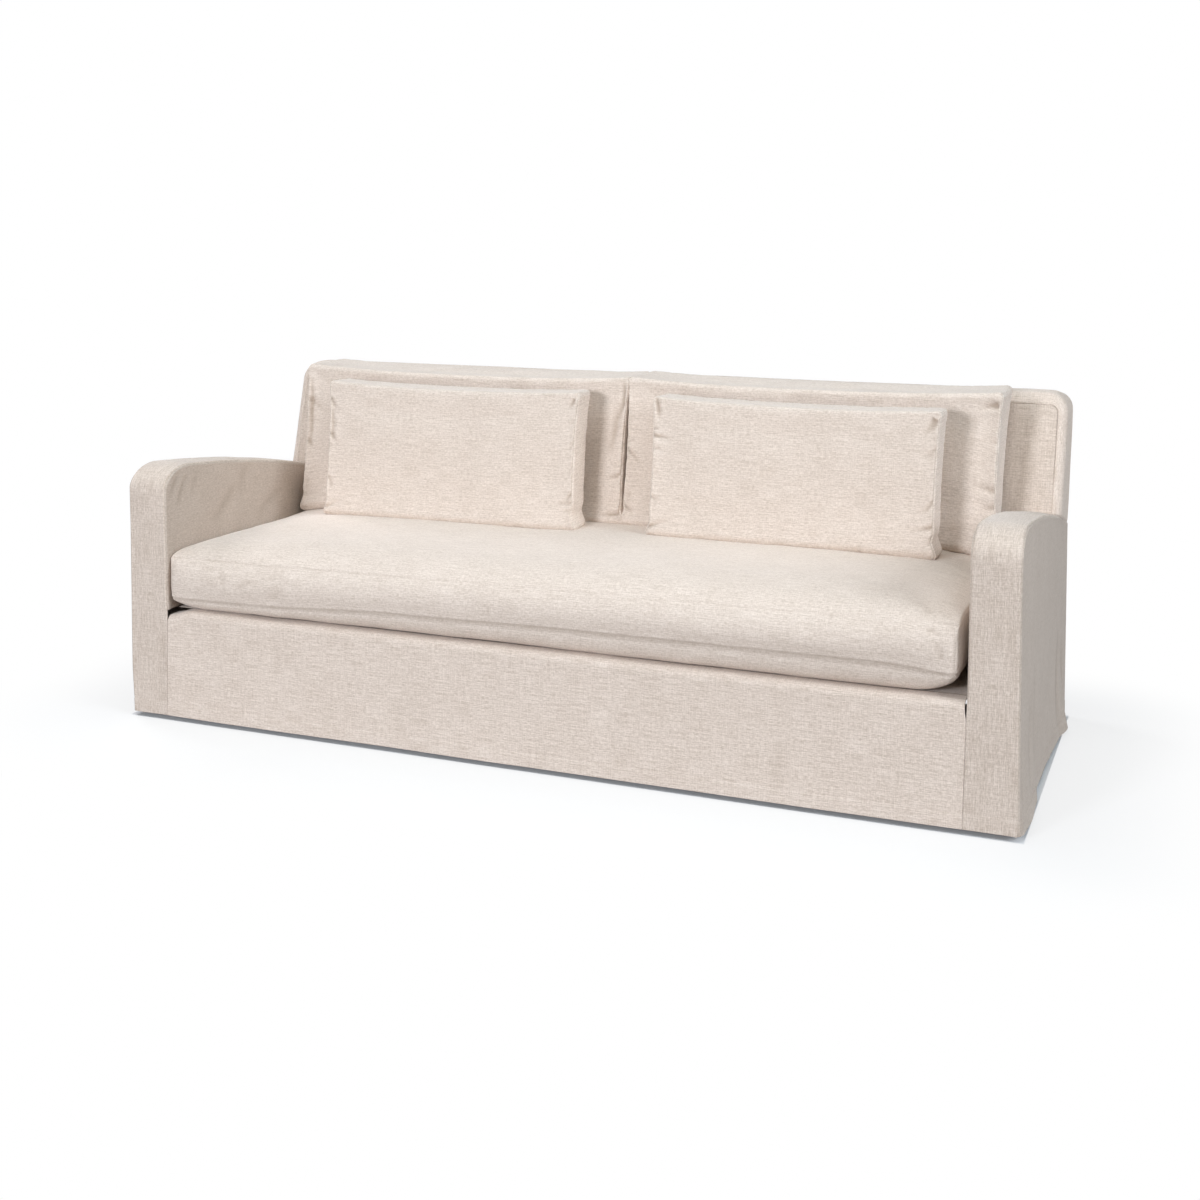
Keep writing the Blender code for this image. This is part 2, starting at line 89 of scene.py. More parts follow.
# Radii of the soft corners where two panels meet at a right angle.
OUTER_ROUND = 0.005
INNER_ROUND = 0.006
REAR_ROUND = 0.008
BACK_ROUND = 0.008
BACK_ROLL = 0.024  # the band's roll over the back's front edge, from its seam
BACK_FALL = 0.006  # how far the back's top falls to its rear

HEM_DEPTH = 0.034  # from the hem's edge up to its line of stitches

# The seams beside the front panel move this far along X from SEAM_DRIFT_Z down to the hem.
SEAM_DRIFT = {-1: -0.0085, 1: -0.003}
SEAM_DRIFT_Z = 0.300
WAVE_FADE_Z = 0.170  # at this height the hem's waves have died out
WAVE_FADE_POWER = 1.6

# How far the hem is pushed out at places along it: along Y at the sides, else along X.
Wave = namedtuple("Wave", "place push")
SIDE_WAVES = {
    1: (
        Wave(0.000, 0.000), Wave(0.022, 0.009), Wave(0.118, 0.015), Wave(0.217, 0.012),
        Wave(0.330, 0.001), Wave(0.450, 0.001), Wave(0.555, 0.003), Wave(0.692, 0.008),
        Wave(0.791, 0.022), Wave(0.870, 0.006), Wave(0.937, 0.000),
    ),
    -1: (
        Wave(0.000, 0.000), Wave(0.060, 0.006), Wave(0.170, 0.012), Wave(0.300, 0.005),
        Wave(0.420, 0.000), Wave(0.560, 0.009), Wave(0.700, 0.004), Wave(0.820, 0.016),
        Wave(0.937, 0.000),
    ),
}
FRONT_WAVES = (
    Wave(-1.03, 0.000), Wave(-0.80, 0.003), Wave(-0.45, 0.000), Wave(-0.10, 0.004),
    Wave(0.30, 0.001), Wave(0.62, 0.004), Wave(0.90, 0.001), Wave(1.03, 0.000),
)
REAR_WAVES = (
    Wave(-1.12, 0.000), Wave(-0.85, 0.010), Wave(-0.55, 0.002), Wave(-0.20, 0.009),
    Wave(0.15, 0.001), Wave(0.50, 0.008), Wave(0.80, 0.002), Wave(0.98, 0.010),
    Wave(1.12, 0.000),
)

SEAT_X = (-1.0035, 0.985)  # the seat cushion's ends
SEAT_FRONT_Y = 0.004
SEAT_REAR_GAP = 0.004  # between it and the inside back
SEAT_FOOTPRINT_Y = 0.720  # a loose cushion rests on it no farther back than this
SEAT_TOP_SEAM_Z = (0.424, 0.445)  # its top seam at its left and right ends
SEAT_CROWN = 0.037  # how far its top rises above that seam
SEAT_FRONT_BULGE = 0.010
SEAT_ROLL_X = 0.240  # how far in from its ends its top still curves
SEAT_ROLL_Y = 0.170  # and how far in from its front
SEAT_FOOT_ROLL = 0.050  # how far in from its low seam it comes down to the deck
SEAT_EDGE_BACK = 0.012  # how far the roll of its front brings the top seam back
SEAT_END_RISE = 0.014  # how far its top rises beside the arms, behind its front corners
SEAT_PLAN_ROUND = 0.020  # radius of its upright corners, where the boxing turns
Seam = namedtuple("Seam", "x z")
SEAT_LOW_SEAM = (
    Seam(-1.00, 0.322), Seam(-0.77, 0.325), Seam(-0.33, 0.343), Seam(0.10, 0.350),
    Seam(0.51, 0.352), Seam(0.82, 0.353), Seam(0.985, 0.342),
)
REST_GAP = 0.0012  # left under a cushion

# The same rows as the loose cushions of the frame have.
Loose = namedtuple("Loose", "x y width foot top depth_low depth_top lean yaw swell rear_swell")
LOOSE_CUSHIONS = {
    "back_cushion_left": Loose(
        -0.4850, 0.600, 0.980, 0.455, 0.866, 0.120, 0.184, 0.062, 0, 0.015, 0),
    "back_cushion_right": Loose(
        0.4915, 0.600, 0.963, 0.455, 0.868, 0.120, 0.184, 0.062, 0, 0.015, 0),
    "lumbar_pillow_left": Loose(
        -0.452, 0.474, 0.738, 0.462, 0.836, 0.09, 0.09, 0.046, 0, 0.020, 0.018),
    "lumbar_pillow_right": Loose(
        0.486, 0.474, 0.726, 0.462, 0.834, 0.09, 0.09, 0.046, -2, 0.020, 0.011),
}
DRAWN_IN = 0.008  # how far its sides and top are drawn in between its corners
SIDE_SWELL = 0.005  # how far its boxing bulges
SWELL_POWER = 0.7  # the lower, the flatter the middle of its faces


# ---------------------------------------------------------------- small mathematics
def mix(low, high, share):
    return low + (high - low) * share


def ease(share):
    share = np.clip(share, 0.0, 1.0)
    return share * share * (3.0 - 2.0 * share)


def hump(place, middle, width):
    """A smooth hump 1 high at its middle."""
    return np.exp(-(((place - middle) / width) ** 2))


def together(*coordinates):
    """Points from their coordinates, each spread over the same grid."""
    return np.stack(np.broadcast_arrays(*coordinates), axis=-1)


def run_along(points, axis=0):
    """The length to each point of a line, or of each line of a grid along this axis."""
    steps = np.linalg.norm(np.diff(points, axis=axis), axis=-1)
    lengths = np.cumsum(steps, axis=axis)
    return np.concatenate([0.0 * lengths.take([0], axis=axis), lengths], axis=axis)


def read_row(table, place):
    """The value beside each place in a table of (place, value) rows, eased between rows."""
    places = np.array([row[0] for row in table])
    values = np.array([row[1] for row in table])
    index = np.clip(np.searchsorted(places, place) - 1, 0, len(places) - 2)
    share = ease((place - places[index]) / (places[index + 1] - places[index]))
    return mix(values[index], values[index + 1], share)


def rounded(distance, reach):
    """A quarter ellipse: 0 at an edge, 1 from this reach inwards."""
    inward = np.clip(distance / reach, 0.0, 1.0)
    return np.sqrt(1.0 - (1.0 - inward) ** 2)


def corner_drop(distance, radius):
    """How far a rounded corner lies below its flat face, at a distance from the sharp edge."""
    radius = np.maximum(radius, 1e-6)
    short = np.clip(radius - distance, 0.0, radius)
    return radius - np.sqrt(radius**2 - short**2)


CORNER_MIDDLE = 1.0 - cos(pi / 4)  # where two faces of a rounded corner meet, in radii


def crowded(start, end, fine, coarse, growth=1.28):
    """Places from start to end with steps that grow from fine at both ends to coarse."""
    half = (end - start) / 2
    steps = [fine]
    while sum(steps) < half:
        steps.append(min(steps[-1] * growth, coarse))
    inward = np.concatenate([[0.0], np.cumsum(steps)])
    inward *= half / inward[-1]
    return np.concatenate([start + inward, (end - inward[::-1])[1:]])


def soft_noise(x, y, size, seed):
    """Smooth noise from -1 to 1 with lumps about this size, the same at every run."""
    table = np.random.default_rng(seed).uniform(-1.0, 1.0, (64, 64))
    x, y = np.broadcast_arrays(np.asarray(x) / size, np.asarray(y) / size)
    column, row = np.floor(x).astype(int), np.floor(y).astype(int)
    across, up = ease(x - column), ease(y - row)
    column, row, next_column, next_row = column % 64, row % 64, (column + 1) % 64, (row + 1) % 64
    low = mix(table[column, row], table[next_column, row], across)
    high = mix(table[column, next_row], table[next_column, next_row], across)
    return mix(low, high, up)


def outline_distance(a, b, outline):
    """Distance of each point (a, b) from an open line of points."""
    nearest = np.full(np.shape(a), 9.0)
    for (a0, b0), (a1, b1) in zip(outline[:-1], outline[1:]):
        da, db = a1 - a0, b1 - b0
        share = np.clip(((a - a0) * da + (b - b0) * db) / (da * da + db * db), 0.0, 1.0)
        nearest = np.minimum(nearest, np.hypot(a - a0 - share * da, b - b0 - share * db))
    return nearest


def offset_line(line, distance):
    """An open line of points moved to its left by this distance."""
    steps = np.gradient(line, axis=0)
    steps /= np.linalg.norm(steps, axis=1)[:, None]
    return line + distance * together(-steps[:, 1], steps[:, 0])


# ---------------------------------------------------------------- folds and seams in the cloth
# A crease starts at (u, v) on its panel, in metres, and runs at this angle, in degrees. bend
# bows it to one side. start is 1 where it is deepest at its first point, such as a pucker
# that begins at a seam, and 0 where it fades at both ends. A negative depth is a ridge.
Crease = namedtuple("Crease", "u v angle length width depth bend start")


def creases(u, v, rows):
    """How far these creases move the cloth at each (u, v): down in their troughs, and a
    little up on the banks beside them."""
    lift = np.zeros(np.shape(u))
    for row in rows:
        turn = radians(row.angle)
        along = ((u - row.u) * cos(turn) + (v - row.v) * sin(turn)) / row.length
        bow = row.bend * 4.0 * along * (1.0 - along)
        aside = (v - row.v) * cos(turn) - (u - row.u) * sin(turn) - bow
        inside = (along > 0.0) & (along < 1.0)
        along = np.clip(along, 0.0, 1.0)
        both_ends = (4.0 * along * (1.0 - along)) ** 0.8
        one_end = (1.0 - along) ** 1.3
        taper = np.where(inside, mix(both_ends, one_end, row.start), 0.0)
        banks = hump(np.abs(aside), 2.0 * row.width, 1.2 * row.width)
        lift += row.depth * taper * (0.3 * banks - hump(aside, 0.0, row.width))
    return lift


def puckers(along, inward, length, seed, spacing, reach, depth):
    """Short folds that fan out from a seam of this length, unevenly spaced."""
    draw = np.random.default_rng(seed)
    lift = np.zeros(np.shape(along))
    place = draw.uniform(0.2, 1.0) * spacing
    while place < length:
        width = draw.uniform(0.004, 0.010)
        slant = draw.uniform(-0.5, 0.5)
        far = reach * draw.uniform(0.5, 1.5)
        deep = depth * draw.uniform(0.25, 1.2)
        fade = np.clip(1.0 - inward / far, 0.0, 1.0) ** 1.5
        lift -= deep * fade * hump(along - slant * inward, place, width * (1.0 + inward / far))
        place += spacing * draw.uniform(0.4, 1.9)
    return lift


GROOVE = 0.0016  # half-width of the groove at a seam or a line of stitches
HEM_PROUD, HEM_GROOVE = 0.0007, 0.0009  # height of a turned-up hem, depth of its stitches


def seam_line(distance, depth=0.0022, ridge=0.0009):
    """The cross-section of a seam: a fine groove with a soft ridge beside it."""
    return ridge * hump(distance, 0.0052, 0.0026) - depth * hump(distance, 0.0, GROOVE)


def hem_line(height):
    """A hem: the turned-up cloth stands a little proud below its line of stitches."""
    proud = HEM_PROUD * ease((HEM_DEPTH - height) / 0.003)
    return proud - HEM_GROOVE * hump(height, HEM_DEPTH, GROOVE)


# ---------------------------------------------------------------- linen
class Graph:
    """The shader nodes of one material or world, added and joined in short calls."""

    def __init__(self, owner):
        owner.use_nodes = True
        self.nodes, self.links = owner.node_tree.nodes, owner.node_tree.links

    def join(self, value, socket):
        """Links an output to a socket, or sets the socket to a plain value."""
        if isinstance(value, bpy.types.NodeSocket):
            self.links.new(value, socket)
        else:
            socket.default_value = value

    def feed(self, node, inputs):
        for name, value in inputs.items():
            self.join(value, node.inputs[name])

    def add(self, kind, *values, inputs=None, **settings):
        """A node with these settings. values go into its first inputs, in their order."""
        made = self.nodes.new("ShaderNode" + kind)
        for key, value in settings.items():
            setattr(made, key, value)
        for value, socket in zip(values, made.inputs):
            self.join(value, socket)
        self.feed(made, inputs or {})
        return made

    def math(self, operation, first, second):
        return self.add("Math", first, second, operation=operation).outputs[0]

    def level(self, value, low, high, low_to, high_to, **settings):
        """Maps a value from one range to another and stops it at both ends."""
        return self.add("MapRange", value, low, high, low_to, high_to, **settings).outputs[0]


def linen(name, tint, slub=1.0, cross=1.0, seed=0.0):
    """Slubbed linen: thick and thin yarns both ways over a plain weave, with a matt nap.
    slub and cross say how strongly the two ways of slubs show."""
    material = bpy.data.materials.new(name)
    graph = Graph(material)
    level = graph.level
    cloth = graph.add("UVMap", uv_map="weave").outputs[0]

    def tinted(red, green, blue):
        return (tint[0] * red, tint[1] * green, tint[2] * blue, 1.0)

    def times(first, second):
        return graph.math("MULTIPLY", first, second)

    def yarns(across, along, detail, place):
        """Streaks: noise squeezed to this many lumps a metre each way."""
        moved = graph.add("Mapping", inputs={
            "Vector": cloth,
            "Location": (place + seed, 3.1 * place, 0.0),
            "Scale": (across, along, 1.0),
        })
        return graph.add("TexNoise", noise_dimensions="2D", inputs={
            "Vector": moved.outputs[0], "Scale": 1.0, "Detail": detail, "Roughness": 0.55,
        }).outputs["Fac"]

    weft_slubs = yarns(17.0, 430.0, 1.0, 1.3)
    warp_slubs = yarns(430.0, 19.0, 1.0, 7.7)
    weft_fine = yarns(100.0, 600.0, 1.0, 2.9)
    warp_fine = yarns(600.0, 130.0, 1.0, 5.1)
    cloud = yarns(7.0, 8.0, 3.0, 9.4)

    # Light yarns raise the tone and dark slubs lower it.
    tone = times(level(weft_slubs, 0.30, 0.72, 1.0 - 0.095 * slub, 1.0 + 0.05 * slub),
                 level(warp_slubs, 0.30, 0.72, 1.0 - 0.085 * cross, 1.0 + 0.045 * cross))
    tone = times(tone, times(level(weft_fine, 0.25, 0.75, 0.87, 1.09),
                             level(warp_fine, 0.25, 0.75, 0.92, 1.06)))
    tone = times(tone, level(cloud, 0.25, 0.75, 0.975, 1.02))

    light_yarn = (*(min(channel * 1.035, 1.0) for channel in tint), 1.0)
    yarn = graph.add("Mix", data_type="RGBA", clamp_factor=True, inputs={
        "Factor": level(tone, 0.70, 1.08, 0.0, 1.0), "A": tinted(0.65, 0.60, 0.55), "B": light_yarn,
    })
    # Painted shade: the cloth is painted darker in its folds and seams, for the shade that falls in
    # them, which their small size keeps out of the mesh.
    folded = graph.add("Mix", data_type="RGBA", clamp_factor=False, inputs={
        "Factor": graph.add("Attribute", attribute_name="tone").outputs["Fac"],
        "A": tinted(0.42, 0.35, 0.28), "B": yarn.outputs["Result"],
    })

    rise = graph.math("ADD", times(weft_fine, 0.5), times(warp_fine, 0.5))
    rise = graph.math("ADD", rise, times(weft_slubs, 0.4 * slub))
    rise = graph.math("ADD", rise, times(warp_slubs, 0.35 * cross))
    bump = graph.add("Bump", inputs={"Strength": 0.55, "Distance": 0.0011, "Height": rise})
    graph.feed(graph.nodes["Principled BSDF"], {
        "Base Color": folded.outputs["Result"],
        "Normal": bump.outputs[0],
        "Roughness": level(tone, 0.7, 1.1, 0.97, 0.86),
        "Specular IOR Level": 0.25,
        "Sheen Weight": 0.25,
        "Sheen Roughness": 0.5,
    })
    return material


# ---------------------------------------------------------------- meshes
def place_object(name, data):
    """An object in the scene for a mesh, a lamp or a camera."""
    made = bpy.data.objects.new(name, data)
    bpy.context.scene.collection.objects.link(made)
    return made


def add_mesh(name, points, faces, weave, material, tone):
    """One object from arrays. weave holds where each face corner lies on the cloth, in metres,
    and tone how light the cloth is painted at each point: below 1 for painted shade in its folds
    and seams, above 1 for painted light on a cushion's side boxing."""
    mesh = bpy.data.meshes.new(name)
    mesh.from_pydata((points + ORIGIN).tolist(), [], faces.tolist())
    layer = mesh.uv_layers.new(name="weave")
    layer.data.foreach_set("uv", np.ascontiguousarray(weave, np.float32).ravel())
    shades = mesh.attributes.new("tone", "FLOAT", "POINT")
    shades.data.foreach_set("value", np.ascontiguousarray(tone, np.float32))
    mesh.shade_smooth()
    mesh.materials.append(material)
    return place_object(name, mesh)


def dress(piece, nodes):
    """Lets a piece stand for its solids in the frame."""
    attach(piece, "root")
    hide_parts(*nodes)


FOLD_DEEP, FOLD_SHADE = 0.0040, 0.55  # a fold this deep is painted this share darker, as painted shade
FOLD_SHALLOW = 0.0004  # a cushion's folds get painted shade below this depth


def fold_painted_shade(lift):
    """The painted shade of the cloth: how much darker it is painted where its folds lower it."""
    return 1.0 - FOLD_SHADE * np.clip(-lift / FOLD_DEEP, 0.0, 1.0) ** 1.2


def grid_normals(points, outward):
    across = np.gradient(points, axis=1)
    down = np.gradient(points, axis=0)
    normals = np.cross(across, down)
    normals /= np.maximum(np.linalg.norm(normals, axis=2), 1e-12)[..., None]
    return normals * np.sign((normals * np.asarray(outward)).sum(axis=2).mean())


def grid_faces(rows, columns):
    index = np.arange(rows * columns).reshape(rows, columns)
    return together(index[:-1, :-1], index[:-1, 1:], index[1:, 1:], index[1:, :-1])


def make_sheet(name, points, outward, weave, material, lift, keep=None, folds=0.0):
    """A sheet CLOTH thick. Its outer face is the grid of points, moved outwards by lift and
    by folds, which are also painted darker as painted shade. keep says which of the grid's cells
    are cloth."""
    rows, columns = points.shape[:2]
    tone = np.broadcast_to(fold_painted_shade(np.asarray(folds)), (rows, columns)).ravel()
    points = points + (lift + folds)[..., None] * grid_normals(points, outward)
    normals = grid_normals(points, outward)
    outer = grid_faces(rows, columns)
    inner = outer[:, :, ::-1] + rows * columns
    if keep is None:
        keep = np.ones((rows - 1, columns - 1), bool)
    padded_keep = np.pad(keep, 1)
    sides = []
    for corner, (down, right) in enumerate(((-1, 0), (0, 1), (1, 0), (0, -1))):
        beside = padded_keep[1 + down : rows + down, 1 + right : columns + right]
        edge = outer[keep & ~beside]
        a, b = edge[:, corner], edge[:, (corner + 1) % 4]
        sides.append(together(b, a, a + rows * columns, b + rows * columns))
    faces = np.concatenate([outer[keep], inner[keep], *sides])
    both = np.concatenate([points.reshape(-1, 3), (points - CLOTH * normals).reshape(-1, 3)])
    first, second, third = both[faces[0, :3]]
    if np.cross(second - first, third - first) @ normals.reshape(-1, 3)[faces[0, 0]] < 0:
        faces = faces[:, ::-1]
    used, places = np.unique(faces, return_inverse=True)
    flat = np.concatenate([weave.reshape(-1, 2)] * 2)[faces].reshape(-1, 2)
    tone = np.concatenate([tone, tone])[used]
    return add_mesh(name, both[used], places.reshape(faces.shape), flat, material, tone)


# ---------------------------------------------------------------- lines of the cover
def outer_x(z, side=1):
    """The cover's side. Its left arm is fuller than its right one."""
    fuller = ARM_FULLNESS[side] * ease(z / 0.15)
    return HALF_LENGTH - SIDE_LEAN * np.minimum(z / LEAN_TOP_Z, 1.0) + fuller


def seam_x(side, z):
    left = np.maximum(0.0, 1.0 - (z - HEM_Z) / (SEAM_DRIFT_Z - HEM_Z))
    return side * INNER_X + SEAM_DRIFT[side] * left


def wave_height(z):
    return np.maximum(0.0, (WAVE_FADE_Z - z) / (WAVE_FADE_Z - HEM_Z)) ** WAVE_FADE_POWER


def arm_top(y):
    return ARM_PEAK_Z - ARM_SLOPE * (y - ARM_CORNER_Y) - ARM_ARCH * (y - ARM_CORNER_Y) ** 2


def inside_back_y(z):
    return BACK_TOP_FRONT_Y - BACK_LEAN * (BACK_TOP_Z - z)


def outside_back_y(z):
    lean = (BACK_TOP_REAR_Y - REAR_Y) / (BACK_TOP_Z - REAR_BEND_Z)
    return REAR_Y + lean * np.maximum(z - REAR_BEND_Z, 0.0)


def arm_end_y():
    y = REAR_Y
    for _ in range(20):
        y = inside_back_y(arm_top(y))
    return y


ARM_END_Y = arm_end_y()


def arm_outline(end_y, low_z):
    """Up the arm's front, round its corner and back along its top, as (y, z) points."""
    turn = np.linspace(0.0, pi / 2, 40)
    rise = (ARM_PEAK_Z - ARM_SHOULDER_Z) * np.sin(turn) ** 0.88
    corner = together(ARM_CORNER_Y * (1.0 - np.cos(turn)), ARM_SHOULDER_Z + rise)
    top_y = np.linspace(ARM_CORNER_Y, end_y, 60)[1:]
    front_z = np.linspace(low_z, ARM_SHOULDER_Z, 60)[:-1]
    return np.concatenate([together(0.0, front_z), corner, together(top_y, arm_top(top_y))])


def back_outline(low_z):
    """Up the back's left side, along its top and down its right side, as (x, z) points."""
    turn = np.linspace(0.0, pi / 2, 24)
    x = outer_x(BACK_TOP_Z) - BACK_CORNER * (1.0 - np.cos(turn))
    z = BACK_TOP_Z - BACK_CORNER * (1.0 - np.sin(turn))
    low = np.linspace(low_z, BACK_TOP_Z - BACK_CORNER, 20)[:-1]
    right = np.concatenate([together(outer_x(low), low), together(x, z)])
    left = right * (-1.0, 1.0)
    return np.concatenate([left, right[::-1]])


# ---------------------------------------------------------------- the cover's panels
def even_steps(line, step):
    """A line of points read again at even steps along it, with the length to each."""
    lengths = run_along(line)
    places = np.linspace(0.0, lengths[-1], max(2, int(lengths[-1] / step)))
    return together(*(np.interp(places, lengths, line[:, k]) for k in (0, 1))), places


def hem_rows(coarse):
    """Heights that crowd at the hem's edge and at its line of stitches."""
    return crowded(HEM_Z, HEM_Z + HEM_DEPTH + 0.006, 0.0015, coarse)


def make_front_panel(material):
    heights = np.concatenate([
        hem_rows(0.003),
        np.arange(HEM_Z + HEM_DEPTH + 0.013, DECK_Z - RAIL_ROLL, 0.0075),
    ])
    turn = np.linspace(0.0, pi / 2, 9)
    roll = together(RAIL_ROLL * (1 - np.cos(turn)), DECK_Z - RAIL_ROLL * (1 - np.sin(turn)))
    tuck = together(np.linspace(RAIL_ROLL + 0.006, RAIL_TUCK_Y, 6), DECK_Z)
    line = np.concatenate([together(0.0, heights), roll, tuck])
    run = run_along(line)[:, None]
    y, z = line[:, :1], line[:, 1:]
    left, right = seam_x(-1, z) + SEAM_GAP, seam_x(1, z) - SEAM_GAP
    x = mix(left, right, crowded(0.0, 1.0, 0.0008, 0.004)[None, :])
    from_left, from_right = x - left, right - x
    edge = np.minimum(from_left, from_right)
    push = read_row(FRONT_WAVES, x) * wave_height(z)
    # The cloth hangs a little proud between its ends and waves softly.
    waves = 0.0016 * soft_noise(x, z, 0.30, 11) * ease((DECK_Z - z) / 0.06)
    waves = waves + 0.0009 * soft_noise(x, z * 0.5, 0.085, 12) * ease((DECK_Z - z) / 0.09)
    push = push + waves * ease(edge / 0.05)
    # The rail's edge is pulled down at its left end, and its right end gapes at the seam.
    pulled = 0.013 * ease((0.075 - from_left) / 0.075) ** 1.4 * ease((z - 0.20) / 0.08)
    sag = 0.0012 * soft_noise(x, 0.0, 0.12, 13) * ease((z - 0.24) / 0.04)
    gape = 0.0035 * ease((0.05 - from_right) / 0.05) * ease((z - 0.243) / 0.03)
    points = together(x - gape, y - push, z - pulled + sag)
    lift = hem_line(z - HEM_Z) - corner_drop(edge, SEAM_ROLL) - 0.0005 * hump(edge, 0.006, 0.002)
    folds = creases(x, run, FRONT_PANEL_CREASES)
    piece = make_sheet(
        "front_panel_cloth", points, (0, -1, 0.3), together(x, run), material, lift, folds=folds
    )
    dress(piece, ["front_panel"])


FRONT_PANEL_CREASES = (
    Crease(-0.96, 0.27, -60, 0.10, 0.009, 0.0012, 0.006, 0),
    Crease(-0.70, 0.285, -84, 0.16, 0.016, 0.0010, 0.004, 0),
    Crease(0.985, 0.262, -128, 0.09, 0.008, 0.0014, -0.004, 1),
    Crease(0.60, 0.02, 84, 0.14, 0.020, 0.0012, 0.006, 0),
    Crease(-0.33, 0.02, 97, 0.11, 0.018, 0.0010, 0.004, 0),
)


def make_deck(material):
    rear_y = inside_back_y(DECK_Z) - 0.0005
    x = crowded(-INNER_X, INNER_X, 0.004, 0.030)[None, :]
    y = crowded(RAIL_TUCK_Y + SEAM_GAP, rear_y, 0.002, 0.020)[:, None]
    points, weave = together(x, y, DECK_Z), together(x, y)
    lift = 0.0004 * soft_noise(x, y, 0.10, 21) - 0.0004
    piece = make_sheet("deck_cloth", points, (0, 0, 1), weave, material, lift)
    dress(piece, ["deck"])


BAND_CREASES = {
    1: (
        Crease(0.018, 0.585, 4, 0.08, 0.009, 0.0007, 0.002, 0),
        Crease(0.095, 0.30, 93, 0.22, 0.010, 0.0008, 0.003, 0),
        Crease(0.030, 0.06, 80, 0.14, 0.014, 0.0009, 0.004, 0),
    ),
    -1: (
        Crease(0.022, 0.595, -6, 0.07, 0.009, 0.0008, 0.002, 0),
        Crease(0.030, 0.05, 96, 0.20, 0.012, 0.0010, 0.004, 0),
    ),
}


def make_arm_band(side, end, material):
    """One strip over the arm: up its front, round the corner and back along its top."""
    fine = together(0.0, hem_rows(0.003)[:14])
    line, _ = even_steps(arm_outline(ARM_END_Y - 0.0005, fine[-1, 1] + 0.006), 0.0055)
    line = np.concatenate([fine, line])
    run = run_along(line)[:, None]
    y, z = line[:, :1], line[:, 1:]
    # The inner corner is flat below the rail, where it meets the front panel.
    above_rail = np.where(y > 0.001, 1.0, ease((z - DECK_Z + 0.010) / 0.030))
    inner_round = INNER_ROUND * above_rail
    sharp_in, sharp_out = side * seam_x(side, z), outer_x(z, side)
    start = sharp_in + CORNER_MIDDLE * inner_round + SEAM_GAP
    stop = sharp_out - CORNER_MIDDLE * OUTER_ROUND - SEAM_GAP
    place = crowded(0.0, 1.0, 0.009, 0.055)[None, :]
    x = mix(start, stop, place)
    across = x - sharp_in
    edge = np.minimum(x - start, stop - x)
    drop = corner_drop(across, inner_round) + corner_drop(sharp_out - x, OUTER_ROUND)
    plump = 0.0045 * ease((run - 0.40) / 0.25) * (1.0 - (2.0 * place - 1.0) ** 2)
    soft = 0.0010 * soft_noise(across, run, 0.07, 31 + side) * ease(edge / 0.02)
    lift = hem_line(run) - drop + plump + soft - 0.0003 * hump(edge, 0.007, 0.002)
    # Its seams show along the inside arm and less where it lies flat beside the front panel.
    beside_panel = (x - start < stop - x) & (run < DECK_Z - HEM_Z)
    shows = np.where(beside_panel, 0.2, 0.9)
    folds = creases(across, run, BAND_CREASES[side]) + shows * seam_line(edge)
    push = read_row(SIDE_WAVES[side], 0 * z) * wave_height(z)
    points = together(side * (x + push), y, z)
    upright = run < 0.62
    outward = together(0.0, np.where(upright, -1.0, 0.0), np.where(upright, 0.0, 1.0))
    weave = together(run, across + 0.5)
    piece = make_sheet(
        "arm_band_cloth_" + end, points, outward, weave, material, lift, folds=folds
    )
    dress(piece, ["arm_band_" + end])


INSIDE_ARM_CREASES = (
    # Distances along y and z on the arm's inner face.
    Crease(0.020, 0.575, 52, 0.085, 0.009, 0.0032, 0.006, 0),
    Crease(0.052, 0.545, 60, 0.100, 0.011, 0.0028, 0.008, 0),
    Crease(0.110, 0.560, 65, 0.080, 0.012, 0.0020, 0.004, 0),
    Crease(0.200, 0.480, 40, 0.160, 0.018, 0.0022, -0.010, 0),
    Crease(0.340, 0.520, 72, 0.110, 0.020, 0.0016, 0.006, 0),
    Crease(0.420, 0.455, 25, 0.150, 0.018, 0.0018, 0.010, 0),
)


def make_inside_arm(side, end, material):
    outline = arm_outline(ARM_END_Y + 0.05, DECK_Z - 0.02)
    border = offset_line(outline, -CORNER_MIDDLE * INNER_ROUND)
    share = crowded(0.0, 1.0, 0.002, 0.0105)[None, :]
    rise = crowded(0.0, 1.0, 0.004, 0.020)[:, None]
    y = mix(CORNER_MIDDLE * INNER_ROUND, ARM_END_Y - 0.001, share)
    z = mix(DECK_Z + 0.0006, np.interp(y, border[:, 0], border[:, 1]), rise)
    rear_y = inside_back_y(z) - 0.0008
    y = mix(y[0, 0], rear_y, (y - y[0, 0]) / (y[0, -1] - y[0, 0]))
    distance = outline_distance(y, z, outline)
    edge = distance - CORNER_MIDDLE * INNER_ROUND
    soft = 0.0022 * soft_noise(y, z, 0.085, 41 + side) + 0.0030 * soft_noise(y, z, 0.20, 43)
    tucked = 0.007 * ease((0.014 - (rear_y - y)) / 0.014)
    lift = soft * ease(edge / 0.03) - corner_drop(distance, INNER_ROUND) - tucked
    folds = 0.9 * seam_line(edge) + creases(y, z, INSIDE_ARM_CREASES)
    piece = make_sheet(
        "inside_arm_cloth_" + end, together(side * INNER_X, y, z), (-side, 0, 0),
        together(y, z + 1.0), material, lift, folds=folds,
    )
    dress(piece, ["inside_arm_" + end])


